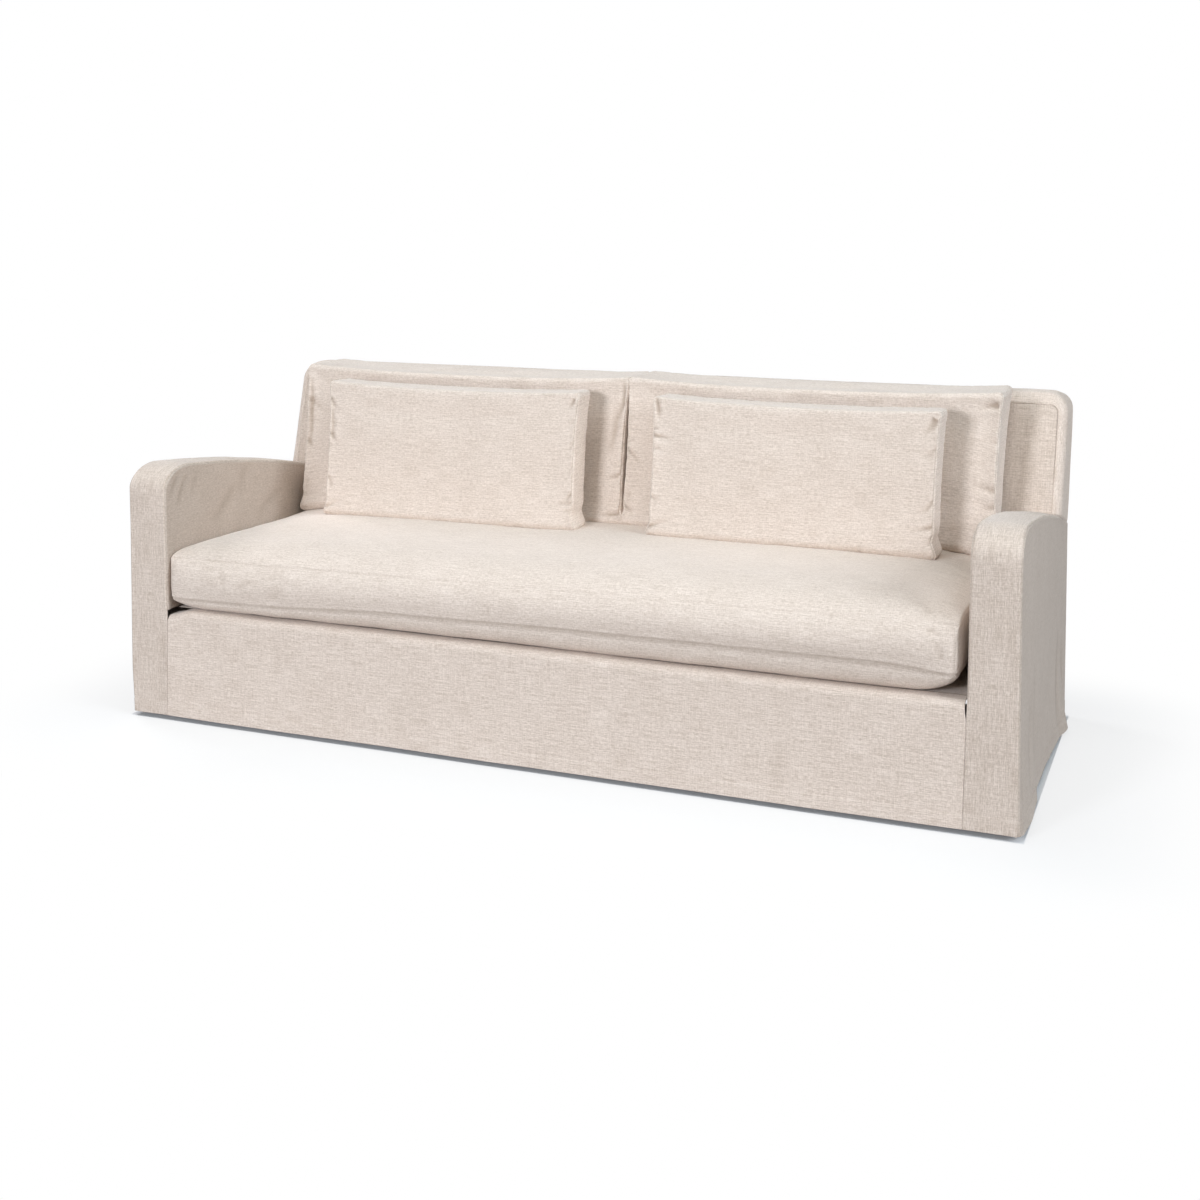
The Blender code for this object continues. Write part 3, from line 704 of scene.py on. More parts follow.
OUTSIDE_ARM_CREASES = {
    1: (
        Crease(0.030, 0.05, 88, 0.16, 0.010, 0.0022, 0.004, 0),
        Crease(0.150, 0.03, 84, 0.24, 0.020, 0.0016, 0.006, 0),
        Crease(0.260, 0.05, 96, 0.30, 0.022, 0.0014, -0.008, 0),
        Crease(0.700, 0.03, 80, 0.26, 0.024, 0.0030, 0.010, 0),
        Crease(0.850, 0.03, 98, 0.22, 0.016, 0.0030, -0.008, 0),
    ),
    -1: (
        Crease(0.060, 0.04, 92, 0.20, 0.014, 0.0020, 0.004, 0),
        Crease(0.380, 0.03, 86, 0.26, 0.022, 0.0018, 0.008, 0),
        Crease(0.720, 0.03, 95, 0.24, 0.020, 0.0026, -0.008, 0),
    ),
}


def make_outside_arm(side, end, material):
    outline = arm_outline(ARM_END_Y, HEM_Z - 0.02)
    tail_y = np.linspace(ARM_END_Y, REAR_Y + 0.02, 20)[1:]
    long_line = np.concatenate([outline, together(tail_y, arm_top(tail_y))])
    border = offset_line(long_line, -CORNER_MIDDLE * OUTER_ROUND)
    start_y = CORNER_MIDDLE * OUTER_ROUND + SEAM_GAP
    stop_y = REAR_Y - CORNER_MIDDLE * REAR_ROUND - SEAM_GAP
    y = mix(start_y, stop_y, crowded(0.0, 1.0, 0.0013, 0.0105)[None, :])
    # Behind the arm's end its top edge is a flat seam under the back's band.
    flat_seam = ease((y - ARM_END_Y + 0.012) / 0.012)
    top_z = mix(np.interp(y, border[:, 0], border[:, 1]), arm_top(y) - SEAM_GAP, flat_seam)
    hem = hem_rows(0.004)[:, None] + 0 * y
    z = np.concatenate([hem, mix(hem[-1], top_z, crowded(0.0, 1.0, 0.004, 0.017)[1:, None])])
    y = y + 0 * z
    distance = outline_distance(y, z, outline)
    edge = np.minimum(np.minimum(y - start_y, stop_y - y), top_z - z)
    soft = 0.0016 * soft_noise(y, z * 0.45, 0.16, 51 + side)
    soft = soft + 0.0008 * soft_noise(y, z * 0.3, 0.05, 53)
    lift = hem_line(z - HEM_Z) + ease(edge / 0.03) * soft
    lift = lift - corner_drop(distance, OUTER_ROUND) - corner_drop(REAR_Y - y, REAR_ROUND)
    folds = creases(y, z, OUTSIDE_ARM_CREASES[side]) * ease(edge / 0.012)
    folds = folds + 0.9 * seam_line(edge)
    push = read_row(SIDE_WAVES[side], y) * wave_height(z)
    points = together(side * (outer_x(z, side) + push), y, z)
    piece = make_sheet(
        "outside_arm_cloth_" + end, points, (side, 0, 0), together(z, y + 2.0), material,
        lift, folds=folds,
    )
    dress(piece, ["outside_arm_" + end])


INSIDE_BACK_CREASES = (
    Crease(1.000, 0.600, 84, 0.20, 0.014, 0.0016, 0.004, 0),
    Crease(-1.070, 0.560, 80, 0.12, 0.010, 0.0022, 0.004, 0),
)


def back_columns():
    """Places across the back, crowded at its sides and at the faces of the arms."""
    half = outer_x(BACK_TOP_Z) - BACK_ROLL - SEAM_GAP
    inner = INNER_X - 0.0006
    wing = crowded(inner, half, 0.0020, 0.006)
    middle = crowded(-inner, inner, 0.010, 0.022)
    return np.concatenate([-wing[::-1], middle[1:-1], wing]), len(wing) - 1


def height_inside(outline, inset, x):
    """The height at x of the line that runs this far inside the back's outline."""
    border = offset_line(outline, -inset)
    right = border[len(border) // 2 :]
    return np.interp(np.abs(x), right[:, 0], right[:, 1])


def make_inside_back(material):
    x, wing = back_columns()
    outline = back_outline(0.20)
    top_z = np.minimum(height_inside(outline, BACK_ROLL, x), BACK_TOP_Z - BACK_ROLL)
    ledge_z = arm_top(ARM_END_Y) + 0.001
    low = np.arange(DECK_Z + 0.002, ledge_z - 0.004, 0.022)[:, None] + 0 * x
    z = np.concatenate([low, mix(ledge_z, top_z, crowded(0.0, 1.0, 0.005, 0.030)[:, None])])
    x = x + 0 * z
    distance = outline_distance(x, z, outline)
    edge = np.where(z > ledge_z, distance - BACK_ROLL, FAR)
    lift = 0.2 * seam_line(edge) + creases(x, z, INSIDE_BACK_CREASES)
    lift = lift + 0.0012 * soft_noise(x, z, 0.13, 61) * ease(edge / 0.03)
    # The panel is narrower below the arms' tops.
    keep = np.ones((z.shape[0] - 1, z.shape[1] - 1), bool)
    keep[: len(low), :wing] = False
    keep[: len(low), -wing:] = False
    points, weave = together(x, inside_back_y(z), z), together(x, z + 2.0)
    piece = make_sheet("inside_back_cloth", points, (0, -1, 0), weave, material, lift, keep)
    dress(piece, ["inside_back"])


def make_back_band(material):
    """One strip round the back: up an end, along the top and down the other end."""
    outline = back_outline(0.45)
    line, run = even_steps(outline, 0.0115)
    x, z = line[:, :1], line[:, 1:]
    steps = np.gradient(line, axis=0)
    steps /= np.linalg.norm(steps, axis=1)[:, None]
    away_x, away_z = -steps[:, 1:], steps[:, :1]
    roll = BACK_ROLL * (1.0 - np.cos(np.linspace(0.0, pi / 2, 10)))
    roll = roll / (BACK_TOP_REAR_Y - BACK_TOP_FRONT_Y)
    behind_roll = mix(roll[-1], 1.0, crowded(0.0, 1.0, 0.009, 0.06))[1:]
    part = np.concatenate([roll, behind_roll])[None, :]
    foot_z = mix(arm_top(ARM_END_Y), arm_top(REAR_Y), part) + 0.0006
    # Each end's lines are squeezed down to the arm's sloping top.
    top_low = BACK_TOP_Z - BACK_CORNER
    on_end = z < top_low
    squeezed = mix(top_low, foot_z, (top_low - z) / (top_low - outline[0, 1]))
    height = np.where(on_end, squeezed, z)
    sharp_front, sharp_rear = inside_back_y(height), outside_back_y(height)
    y = mix(sharp_front, sharp_rear - CORNER_MIDDLE * BACK_ROUND - SEAM_GAP, part)
    across_x = np.where(on_end, np.sign(x) * outer_x(height), x)
    front_drop = corner_drop(y - sharp_front, BACK_ROLL)
    behind = (y - sharp_front) / BACK_ROLL
    turned = np.arccos(np.clip(1.0 - behind, 0.0, 1.0))
    across = BACK_ROLL * (turned + np.maximum(behind - 1.0, 0.0))
    crown = BACK_CROWN * (1.0 - (2.0 * part - 1.0) ** 2) - BACK_FALL * part
    lift = crown * (1.0 - np.abs(away_x)) - front_drop - corner_drop(sharp_rear - y, BACK_ROUND)
    lift = lift + 0.6 * seam_line(y[:, -1:] - y)
    foot_seam = 0.6 * seam_line(np.minimum(height - foot_z, FAR))
    lift = lift + np.where(on_end, foot_seam, 0.0) + 0.0010 * soft_noise(run[:, None], y, 0.10, 71)
    # The face leans, so where the roll brings the band down it also comes forward.
    y = y - BACK_LEAN * front_drop * away_z
    points, outward = together(across_x, y, height), together(away_x, 0.0, away_z)
    weave = together(run[:, None], across + 3.0)
    piece = make_sheet("back_band_cloth", points, outward, weave, material, lift)
    dress(piece, ["back_band"])


OUTSIDE_BACK_CREASES = (
    Crease(-0.86, 0.03, 92, 0.24, 0.020, 0.0022, 0.006, 0),
    Crease(-0.24, 0.03, 86, 0.22, 0.022, 0.0018, 0.006, 0),
    Crease(0.52, 0.03, 95, 0.26, 0.020, 0.0020, -0.008, 0),
    Crease(0.97, 0.03, 88, 0.20, 0.016, 0.0022, 0.006, 0),
)


def make_outside_back(material):
    outline = back_outline(HEM_Z - 0.02)
    inset = CORNER_MIDDLE * BACK_ROUND
    share = crowded(-1.0, 1.0, 0.0012, 0.0125)[None, :]
    half_top = outer_x(BACK_TOP_Z) - inset - SEAM_GAP
    top_z = np.minimum(height_inside(outline, inset, share * half_top), BACK_TOP_Z - inset)
    to_corner = half_top - BACK_CORNER - np.abs(share) * half_top
    top_z = top_z - BACK_FALL * ease(to_corner / 0.04 + 1.0)
    hem = hem_rows(0.004)[:, None] + 0 * share
    z = np.concatenate([hem, mix(hem[-1], top_z, crowded(0.0, 1.0, 0.003, 0.017)[1:, None])])
    x = share * (outer_x(z) - CORNER_MIDDLE * REAR_ROUND - SEAM_GAP)
    y = outside_back_y(z) + read_row(REAR_WAVES, x) * wave_height(z)
    distance = outline_distance(x, z, outline)
    edge = np.minimum(distance - inset, FAR)
    soft = 0.0022 * soft_noise(x, z * 0.5, 0.22, 81) + 0.0010 * soft_noise(x, z * 0.4, 0.07, 82)
    lift = hem_line(z - HEM_Z) + 0.6 * seam_line(edge) - corner_drop(distance, REAR_ROUND)
    lift = lift + ease(edge / 0.04) * soft + creases(x, z, OUTSIDE_BACK_CREASES) * ease(edge / 0.02)
    points, weave = together(x, y, z), together(x, z)
    piece = make_sheet("outside_back_cloth", points, (0, 1, 0), weave, material, lift)
    dress(piece, ["outside_back"])


# ---------------------------------------------------------------- cushions
def boxed_skin(axes):
    """The skin of a block of cells: its points' places (u, v, w), its faces and its six sides.

    axes holds the places along u, v and w, from -1 to 1. The result's sides are rows of
    (axis, level, first face, last face, ids of the side's points as a grid).
    """
    counts = [len(axis) for axis in axes]
    ids_used, faces, sides = [], [], []
    for axis in range(3):
        first, second = [other for other in range(3) if other != axis]
        for level in (0, counts[axis] - 1):
            key = [level, level, level]
            key[first], key[second] = np.meshgrid(
                np.arange(counts[first]), np.arange(counts[second]), indexing="ij")
            ids = (key[0] * counts[1] + key[1]) * counts[2] + key[2]
            quads = together(ids[:-1, :-1], ids[1:, :-1], ids[1:, 1:], ids[:-1, 1:])
            quads = quads.reshape(-1, 4)
            if (axis == 1) != (level == 0):
                quads = quads[:, ::-1]
            start = sum(len(rows) for rows in faces)
            faces.append(quads)
            sides.append([axis, -1 if level == 0 else 1, start, start + len(quads), ids])
            ids_used.append(ids.ravel())
    used = np.unique(np.concatenate(ids_used))
    order = np.full(counts[0] * counts[1] * counts[2], -1)
    order[used] = np.arange(len(used))
    for side in sides:
        side[4] = order[side[4]]
    u, v, w = used // (counts[1] * counts[2]), used // counts[2] % counts[1], used % counts[2]
    return together(axes[0][u], axes[1][v], axes[2][w]), order[np.concatenate(faces)], sides


def outward_normals(points, faces):
    """The faces of a closed skin turned outwards, and the normal at each point."""
    corners = points[faces]
    face_normals = np.cross(corners[:, 2] - corners[:, 0], corners[:, 3] - corners[:, 1])
    normals = np.zeros_like(points)
    for corner in range(4):
        np.add.at(normals, faces[:, corner], face_normals)
    normals /= np.maximum(np.linalg.norm(normals, axis=1), 1e-12)[:, None]
    if np.einsum("ij,ij->i", normals, points - points.mean(axis=0)).mean() < 0:
        return faces[:, ::-1], -normals
    return faces, normals


def cubic(values, places):
    """Values on even rows from -1 to 1, read smoothly at these places along the first axis."""
    last = len(values) - 1
    spot = (places + 1.0) / 2.0 * last
    index = np.clip(np.floor(spot).astype(int), 0, last - 1)
    f = (spot - index).reshape(-1, *([1] * (values.ndim - 1)))
    before, after = np.maximum(index - 1, 0), np.minimum(index + 2, last)
    return (
        ((-0.5 * f + 1.0) * f - 0.5) * f * values[before]
        + ((1.5 * f - 2.5) * f * f + 1.0) * values[index]
        + ((-1.5 * f + 2.0) * f + 0.5) * f * values[index + 1]
        + (0.5 * f - 0.5) * f * f * values[after]
    )


PRESSURE = 0.5  # of the air that fills a cushion
PRESSURE_FRAMES = 20  # how long it is blown up
SWELL_CAP = 0.026  # the farthest that the filling may move a point
OUTWARD, SIDEWAYS = 0.50, 0.20  # how much of its movement is kept, off the skin and along it


def blow_up(points, faces, shrink):
    """Fills a closed skin with air as cloth, without gravity. Returns where its points go."""
    mesh = bpy.data.meshes.new("filling")
    mesh.from_pydata(points.tolist(), [], faces.tolist())
    skin = place_object("filling", mesh)
    cloth = skin.modifiers.new("cloth", "CLOTH")
    settings = cloth.settings
    settings.quality = 6
    settings.mass = 0.25
    settings.tension_stiffness = settings.compression_stiffness = 40.0
    settings.shear_stiffness = 8.0
    settings.bending_stiffness = 0.3
    settings.use_pressure = True
    settings.uniform_pressure_force = PRESSURE
    settings.shrink_min = settings.shrink_max = shrink
    settings.effector_weights.gravity = 0.0
    cloth.point_cache.frame_start = 1
    cloth.point_cache.frame_end = PRESSURE_FRAMES
    scene = bpy.context.scene
    for number in range(1, PRESSURE_FRAMES + 1):
        scene.frame_set(number)
    blown = skin.evaluated_get(bpy.context.evaluated_depsgraph_get()).to_mesh()
    moved = np.empty(len(points) * 3, np.float32)
    blown.vertices.foreach_get("co", moved)
    bpy.data.objects.remove(skin)
    bpy.data.meshes.remove(mesh)
    scene.frame_set(1)
    return moved.reshape(-1, 3).astype(float)


def swelling(place, free, counts, slack):
    """How a cushion's plain skin moves when it is filled, as one even grid for each side.

    free says how much of that movement each place keeps. slack is how much longer the cloth
    is than the skin, which lets its seams pucker.
    """
    places, faces, sides = boxed_skin([np.linspace(-1.0, 1.0, count) for count in counts])
    points = place(*places.T)
    moves = blow_up(points, faces, -slack) - points
    _, normals = outward_normals(points, faces)
    outward = np.einsum("ij,ij->i", moves, normals)[:, None] * normals
    moves = OUTWARD * outward + SIDEWAYS * (moves - outward)
    length = np.linalg.norm(moves, axis=1)
    capped = SWELL_CAP * np.tanh(length / SWELL_CAP) / np.maximum(length, 1e-9)
    moves *= (capped * free(*places.T))[:, None]
    return {(axis, level): moves[ids] for axis, level, _, _, ids in sides}


BOXING_PAINTED_LIGHT = 0.20  # painted light: a cushion's side boxing is painted lighter than its faces, for the light that falls on it


def make_cushion(name, axes, place, detail, swell, material):
    """A stuffed, boxed cushion. place gives the plain skin and swell how its filling moves it.
    detail gives its soft unevenness, and its seams and folds, which are also painted darker as
    painted shade."""
    places, faces, sides = boxed_skin(axes)
    points = place(*places.T)
    if swell:
        plain_skin = points.copy()
        for axis, level, _, _, ids in sides:
            first, second = [other for other in range(3) if other != axis]
            rows = cubic(swell[axis, level], axes[first])
            moves = cubic(rows.swapaxes(0, 1), axes[second]).swapaxes(0, 1)
            points[ids] = plain_skin[ids] + moves
    faces, normals = outward_normals(points, faces)
    total, folded, count = (np.zeros(len(points)) for _ in range(3))
    weave = np.zeros((len(faces), 4, 2))
    for axis, level, first, last, ids in sides:
        run_a, run_b = (run_along(points[ids], along) for along in (0, 1))
        soft, folds = detail(axis, level, run_a, run_b)
        np.add.at(total, ids.ravel(), (soft + folds).ravel())
        np.add.at(folded, ids.ravel(), folds.ravel())
        np.add.at(count, ids.ravel(), 1.0)
        flat = np.zeros((len(points), 2))
        flat_a, flat_b = (run_b, run_a) if axis == 0 else (run_a, run_b)
        flat[ids.ravel()] = together(flat_a.ravel() + 1.7 * axis, flat_b.ravel() + 0.9 * level)
        weave[first:last] = flat[faces[first:last]]
    points = points + (total / count)[:, None] * normals
    # Painted shade: the cloth is painted darker in its folds and seams.
    tone = fold_painted_shade(folded / count + FOLD_SHALLOW)
    # Painted light: the side boxings are painted lighter.
    for axis, level, _, _, ids in sides:
        if axis == 0:
            tone[ids[1:-1, 1:-1]] += BOXING_PAINTED_LIGHT
    piece = add_mesh(name, points, faces, weave.reshape(-1, 2), material, tone)
    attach(piece, "root")
    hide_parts(name.replace("_cover", ""))


def round_plan(x, y, box, radius):
    """Moves points of a rectangle so that its upright corners are rounded."""
    (x0, x1), (y0, y1) = box
    middle_x, middle_y = (x0 + x1) / 2, (y0 + y1) / 2
    over_x = np.maximum(np.abs(x - middle_x) - ((x1 - x0) / 2 - radius), 0.0)
    over_y = np.maximum(np.abs(y - middle_y) - ((y1 - y0) / 2 - radius), 0.0)
    size = np.hypot(over_x, over_y)
    shrink = np.where(size > 0, np.maximum(over_x, over_y) / np.maximum(size, 1e-9), 1.0)
    x = x - np.sign(x - middle_x) * over_x * (1.0 - shrink)
    y = y - np.sign(y - middle_y) * over_y * (1.0 - shrink)
    return x, y


def seat_top(x, y):
    """Height of the seat cushion's top."""
    share = (x - SEAT_X[0]) / (SEAT_X[1] - SEAT_X[0])
    seam = mix(*SEAT_TOP_SEAM_Z, share)
    to_end = np.minimum(x - SEAT_X[0], SEAT_X[1] - x)
    roll = rounded(to_end, SEAT_ROLL_X) * rounded(y - SEAT_FRONT_Y, SEAT_ROLL_Y)
    return seam + SEAT_CROWN * roll


def seat_place(u, v, w):
    """A point of the seat cushion's plain skin. u runs along X, v along Y and w up."""
    rise = (w + 1) / 2
    x = mix(*SEAT_X, (u + 1) / 2)
    low_z = read_row(SEAT_LOW_SEAM, x)
    z = mix(low_z, mix(*SEAT_TOP_SEAM_Z, (u + 1) / 2), rise)
    rear_y = inside_back_y(z) - SEAT_REAR_GAP
    y = mix(SEAT_FRONT_Y, rear_y, (v + 1) / 2)
    to_end = (1.0 - np.abs(u)) * (SEAT_X[1] - SEAT_X[0]) / 2
    to_front, to_rear = y - SEAT_FRONT_Y, rear_y - y
    front_roll = 1.0 - np.clip(1.0 - to_front / SEAT_ROLL_Y, 0.0, 1.0) ** 2.6
    end_rise = SEAT_END_RISE * rounded(to_front, 0.09) * (1.0 - to_front / 0.54)
    crown = (SEAT_CROWN - end_rise) * rounded(to_end, SEAT_ROLL_X) * front_roll
    drop = (low_z - DECK_Z - REST_GAP) * rounded(to_end, 2 * SEAT_FOOT_ROLL)
    drop = drop * rounded(to_front, SEAT_FOOT_ROLL) * rounded(to_rear, SEAT_FOOT_ROLL)
    raised = rise * end_rise + np.where(w == 1, crown, 0.0)
    z = z + raised * rounded(to_rear, 0.02) - np.where(w == -1, drop, 0.0)
    bulge = SEAT_FRONT_BULGE * (1.0 - w * w) * rounded(to_end, SEAT_ROLL_X)
    rolled_back = SEAT_EDGE_BACK * rise**4 * (1.0 - ease(to_front / 0.08))
    y = y - np.where(v == -1, bulge, 0.0) + rolled_back
    plan = (SEAT_X, (SEAT_FRONT_Y, inside_back_y(SEAT_TOP_SEAM_Z[0]) - SEAT_REAR_GAP))
    x, y = round_plan(x, y, plan, SEAT_PLAN_ROUND)
    return together(x, y, z)


SEAT_SEAM = (0.0016, 0.0006)  # how deep its seams are, and how high the ridge beside them
LOW_SEAM_SHOWS = 1.7  # how much clearer the seam round its foot is
SEAT_TOP_CREASES = (
    Crease(1.930, 0.030, 118, 0.10, 0.010, 0.0030, 0.006, 1),
)
SEAT_FRONT_CREASES = (
    # u along the front boxing from its left end, v up it.
    Crease(0.150, 0.078, -50, 0.036, 0.007, 0.0028, 0.003, 0),
    Crease(0.205, 0.036, 30, 0.062, 0.008, 0.0026, 0.003, 0),
    Crease(0.300, 0.020, 40, 0.060, 0.010, 0.0018, -0.004, 0),
    Crease(1.925, 0.090, -25, 0.045, 0.006, 0.0036, 0.003, 1),
    Crease(1.940, 0.070, -70, 0.050, 0.007, 0.0030, 0.003, 0),
)


def seam_shows(along):
    """The seam along the seat's top shows at its left end and is rolled smooth farther on."""
    return mix(1.0, 0.2, ease((along - 0.35) / 0.55))


SEAT_LENGTH, SEAT_DEPTH, SEAT_HEIGHT = 1.98, 0.75, 0.10  # about, for spreading its folds


def seat_detail(axis, level, a, b):
    """Seams run round the seat's top and foot. a and b are lengths across each side."""
    last_a, last_b = a[-1:, :], b[:, -1:]
    if axis == 2:
        edge = np.minimum(np.minimum(a, last_a - a), np.minimum(b, last_b - b))
        lift = seam_line(edge, *SEAT_SEAM) * (seam_shows(a) if level == 1 else LOW_SEAM_SHOWS)
        soft = 0.0022 * soft_noise(a, b, 0.16, 91) + 0.0008 * soft_noise(a, b, 0.05, 92)
        if level == 1:
            lift = lift + creases(a, b, SEAT_TOP_CREASES)
        for seed, along, inward, length in (
            (101, a, b, SEAT_LENGTH), (102, a, last_b - b, SEAT_LENGTH),
            (103, b, a, SEAT_DEPTH), (104, b, last_a - a, SEAT_DEPTH),
        ):
            lift = lift + puckers(along, inward, length, seed + level, 0.075, 0.030, 0.0010)
        return ease(edge / 0.05) * soft, lift
    edge = np.minimum(b, last_b - b)
    soft = ease(edge / 0.03) * 0.0018 * soft_noise(a, b, 0.09, 93 + axis)
    shows = np.where(last_b - b < b, seam_shows(a), LOW_SEAM_SHOWS) if axis == 1 else 1.0
    lift = seam_line(edge, *SEAT_SEAM) * shows
    lift = lift + puckers(a, b, SEAT_LENGTH, 105 + axis, 0.09, 0.025, 0.0010)
    if axis == 1 and level == -1:
        lift = lift + creases(a, b, SEAT_FRONT_CREASES)
    return soft, lift


def seat_free(u, v, w):
    """The seat cushion rests on the deck and is held by the arms and the back."""
    free = mix(0.10, 1.0, ease((w + 1.0) / 0.8)) * mix(0.15, 1.0, ease((1.0 - v) / 0.3))
    return 0.7 * free * mix(0.35, 1.0, ease((1.0 - np.abs(u)) / 0.04))


SEAT_FINE, LOOSE_FINE = 0.0016, 0.0013  # the cells beside a cushion's seams


def make_seat(material):
    # Its size each way, and its widest cells.
    sizes = ((SEAT_X[1] - SEAT_X[0], 0.0085), (0.73, 0.0085), (SEAT_HEIGHT, 0.0065))
    axes = [crowded(-1.0, 1.0, 2 * SEAT_FINE / size, 2 * coarse / size) for size, coarse in sizes]
    swell = swelling(seat_place, seat_free, (160, 60, 12), 0.010)
    make_cushion(
        "seat_cushion_cover", axes, seat_place, seat_detail, swell, material,
    )


# How far in from each seam a face curves back to it: at the sides, the foot and the top.
Curve = namedtuple("Curve", "side foot top rear")
CURVES = {"back": Curve(0.010, 0.040, 0.016, 0.5), "lumbar": Curve(0.008, 0.040, 0.008, 0.6)}
EAR = 0.005  # how far a corner pokes out, where there is least filling
CORNER_ROUND = 0.018  # radius of a corner, seen from the front


def loose_place(name, u, v, w):
    """A point of a loose cushion. u is across it, v up and w from front to rear."""
    row, curve = LOOSE_CUSHIONS[name], CURVES[name.split("_")[0]]
    tall = row.top - row.foot
    rise = (v + 1) / 2
    ear = EAR * np.abs(u) ** 9 * np.abs(v) ** 5
    x = u * (row.width / 2 - 0.6 * DRAWN_IN * (1.0 - v * v)) + np.sign(u) * ear
    z = mix(row.foot, row.top, rise) - np.maximum(v, 0.0) * DRAWN_IN * (1.0 - u * u)
    z = z + 0.6 * ear * (v > 0)
    # A foot's corner is pinched in above and bulges where it meets the seat.
    height = z - row.foot
    pinch = 0.005 * hump(height, 0.050, 0.014) - 0.004 * hump(height, 0.016, 0.014)
    x = x - np.sign(u) * np.abs(u) ** 12 * pinch
    half = row.width / 2 + EAR
    x, z = round_plan(x, z, ((-half, half), (row.foot, row.top + 0.6 * EAR)), CORNER_ROUND)
    crown = np.maximum((1.0 - u**4) * (1.0 - v**4), 0.0) ** SWELL_POWER
    front = -0.6 * row.swell * crown * (w == -1)
    rear = 0.8 * row.rear_swell * crown * (w == 1)
    to_side = (1.0 - np.abs(u)) * row.width / 2
    back = 0.0
    for distance, reach in (
        (to_side, curve.side), (rise * tall, curve.foot), ((1.0 - rise) * tall, curve.top),
    ):
        back = back + corner_drop(distance + CORNER_MIDDLE * reach, reach)
    depth = mix(row.depth_low, row.depth_top, rise)
    y = mix(front + back, depth + rear - curve.rear * back, (w + 1) / 2)
    y = y + row.lean * (z - row.foot) / tall
    side_swell = SIDE_SWELL * (1.0 - w * w)
    x = x + np.where(np.abs(u) == 1, u * side_swell * (1.0 - v * v), 0.0)
    z = z + np.where(v == 1, side_swell * (1.0 - u * u), 0.0)
    turn = radians(row.yaw)
    turned_x = row.x + x * cos(turn) - y * sin(turn)
    turned_y = row.y + x * sin(turn) + y * cos(turn)
    under = seat_top(turned_x, np.minimum(turned_y, SEAT_FOOTPRINT_Y))
    z = z + (under + REST_GAP - row.foot) * (1.0 - (z - row.foot) / tall)
    return together(turned_x, turned_y, z)


# Creases on the front face of each loose cushion: u from its left side, v up from its foot.
FACE_CREASES = {
    "back_cushion_left": (
        Crease(0.978, 0.148, -165, 0.060, 0.006, 0.0065, 0.004, 1),
        Crease(0.985, 0.042, 182, 0.095, 0.007, 0.0060, 0.006, 1),
        Crease(0.974, 0.400, -98, 0.110, 0.008, 0.0040, 0.006, 0),
        Crease(0.950, 0.345, -97, 0.160, 0.013, 0.0035, 0.008, 0),
        Crease(0.010, 0.395, -88, 0.210, 0.006, 0.0045, 0.002, 0),
        Crease(0.010, 0.330, -52, 0.075, 0.007, 0.0050, 0.004, 1),
        Crease(0.006, 0.215, -62, 0.055, 0.006, 0.0040, 0.002, 1),
    ),
    "back_cushion_right": (
        Crease(0.003, 0.214, -50, 0.090, 0.005, 0.0055, 0.003, 1),
        Crease(0.003, 0.068, -50, 0.060, 0.005, 0.0055, 0.002, 1),
        Crease(0.961, 0.388, -162, 0.060, 0.007, 0.0070, 0.003, 1),
        Crease(0.960, 0.300, -170, 0.040, 0.007, 0.0030, 0.002, 1),
        Crease(0.960, 0.180, 180, 0.075, 0.009, 0.0050, 0.003, 1),
        Crease(0.960, 0.139, -166, 0.045, 0.007, 0.0040, 0.002, 1),
    ),
    "lumbar_pillow_left": (
        Crease(0.736, 0.356, -132, 0.055, 0.005, 0.0050, 0.003, 1),
        Crease(0.736, 0.300, -140, 0.035, 0.005, 0.0030, 0.002, 1),
        Crease(0.736, 0.238, -144, 0.050, 0.006, 0.0040, 0.002, 1),
        Crease(0.736, 0.180, -133, 0.040, 0.005, 0.0030, 0.002, 1),
        Crease(0.736, 0.108, -140, 0.050, 0.005, 0.0050, 0.002, 1),
        Crease(0.737, 0.083, -178, 0.055, 0.005, 0.0050, 0.002, 1),
        Crease(0.003, 0.334, -62, 0.055, 0.006, 0.0050, 0.003, 1),
        Crease(0.008, 0.320, -88, 0.110, 0.007, 0.0035, 0.002, 0),
        Crease(0.003, 0.238, -52, 0.050, 0.006, 0.0050, 0.003, 1),
        Crease(0.003, 0.118, -65, 0.050, 0.007, 0.0045, 0.003, 1),
        Crease(0.003, 0.030, 22, 0.065, 0.006, 0.0045, 0.003, 1),
    ),
    "lumbar_pillow_right": (
        Crease(0.008, 0.372, -82, 0.060, 0.006, 0.0045, 0.003, 0),
        Crease(0.003, 0.286, -12, 0.040, 0.005, 0.0045, 0.002, 1),
        Crease(0.003, 0.268, -10, 0.065, 0.006, 0.0055, 0.003, 1),
        Crease(0.003, 0.236, -14, 0.050, 0.006, 0.0030, 0.002, 1),
        Crease(0.003, 0.112, -32, 0.040, 0.006, 0.0045, 0.002, 1),
        Crease(0.003, 0.034, 18, 0.065, 0.006, 0.0050, 0.003, 1),
        Crease(0.724, 0.345, -130, 0.075, 0.010, 0.0055, 0.004, 1),
        Crease(0.724, 0.272, -149, 0.055, 0.007, 0.0040, 0.002, 1),
        Crease(0.724, 0.150, -135, 0.065, 0.006, 0.0055, 0.003, 1),
        Crease(0.724, 0.088, -165, 0.060, 0.005, 0.0055, 0.002, 1),
        Crease(0.724, 0.064, -122, 0.045, 0.005, 0.0045, 0.002, 1),
        Crease(0.560, 0.004, 92, 0.040, 0.006, 0.0035, 0.002, 1),
    ),
}
# How clearly the seams show along a face's sides, foot and top.
SEAM_SHOWS = {"back": (1.0, 0.5, 0.15), "lumbar": (1.0, 0.6, 0.45)}


# The widest cells of a loose cushion's mesh, and the cells of its simulation.
LOOSE_STEPS = {"back": (0.0060, 0.011), "lumbar": (0.0050, 0.0085)}


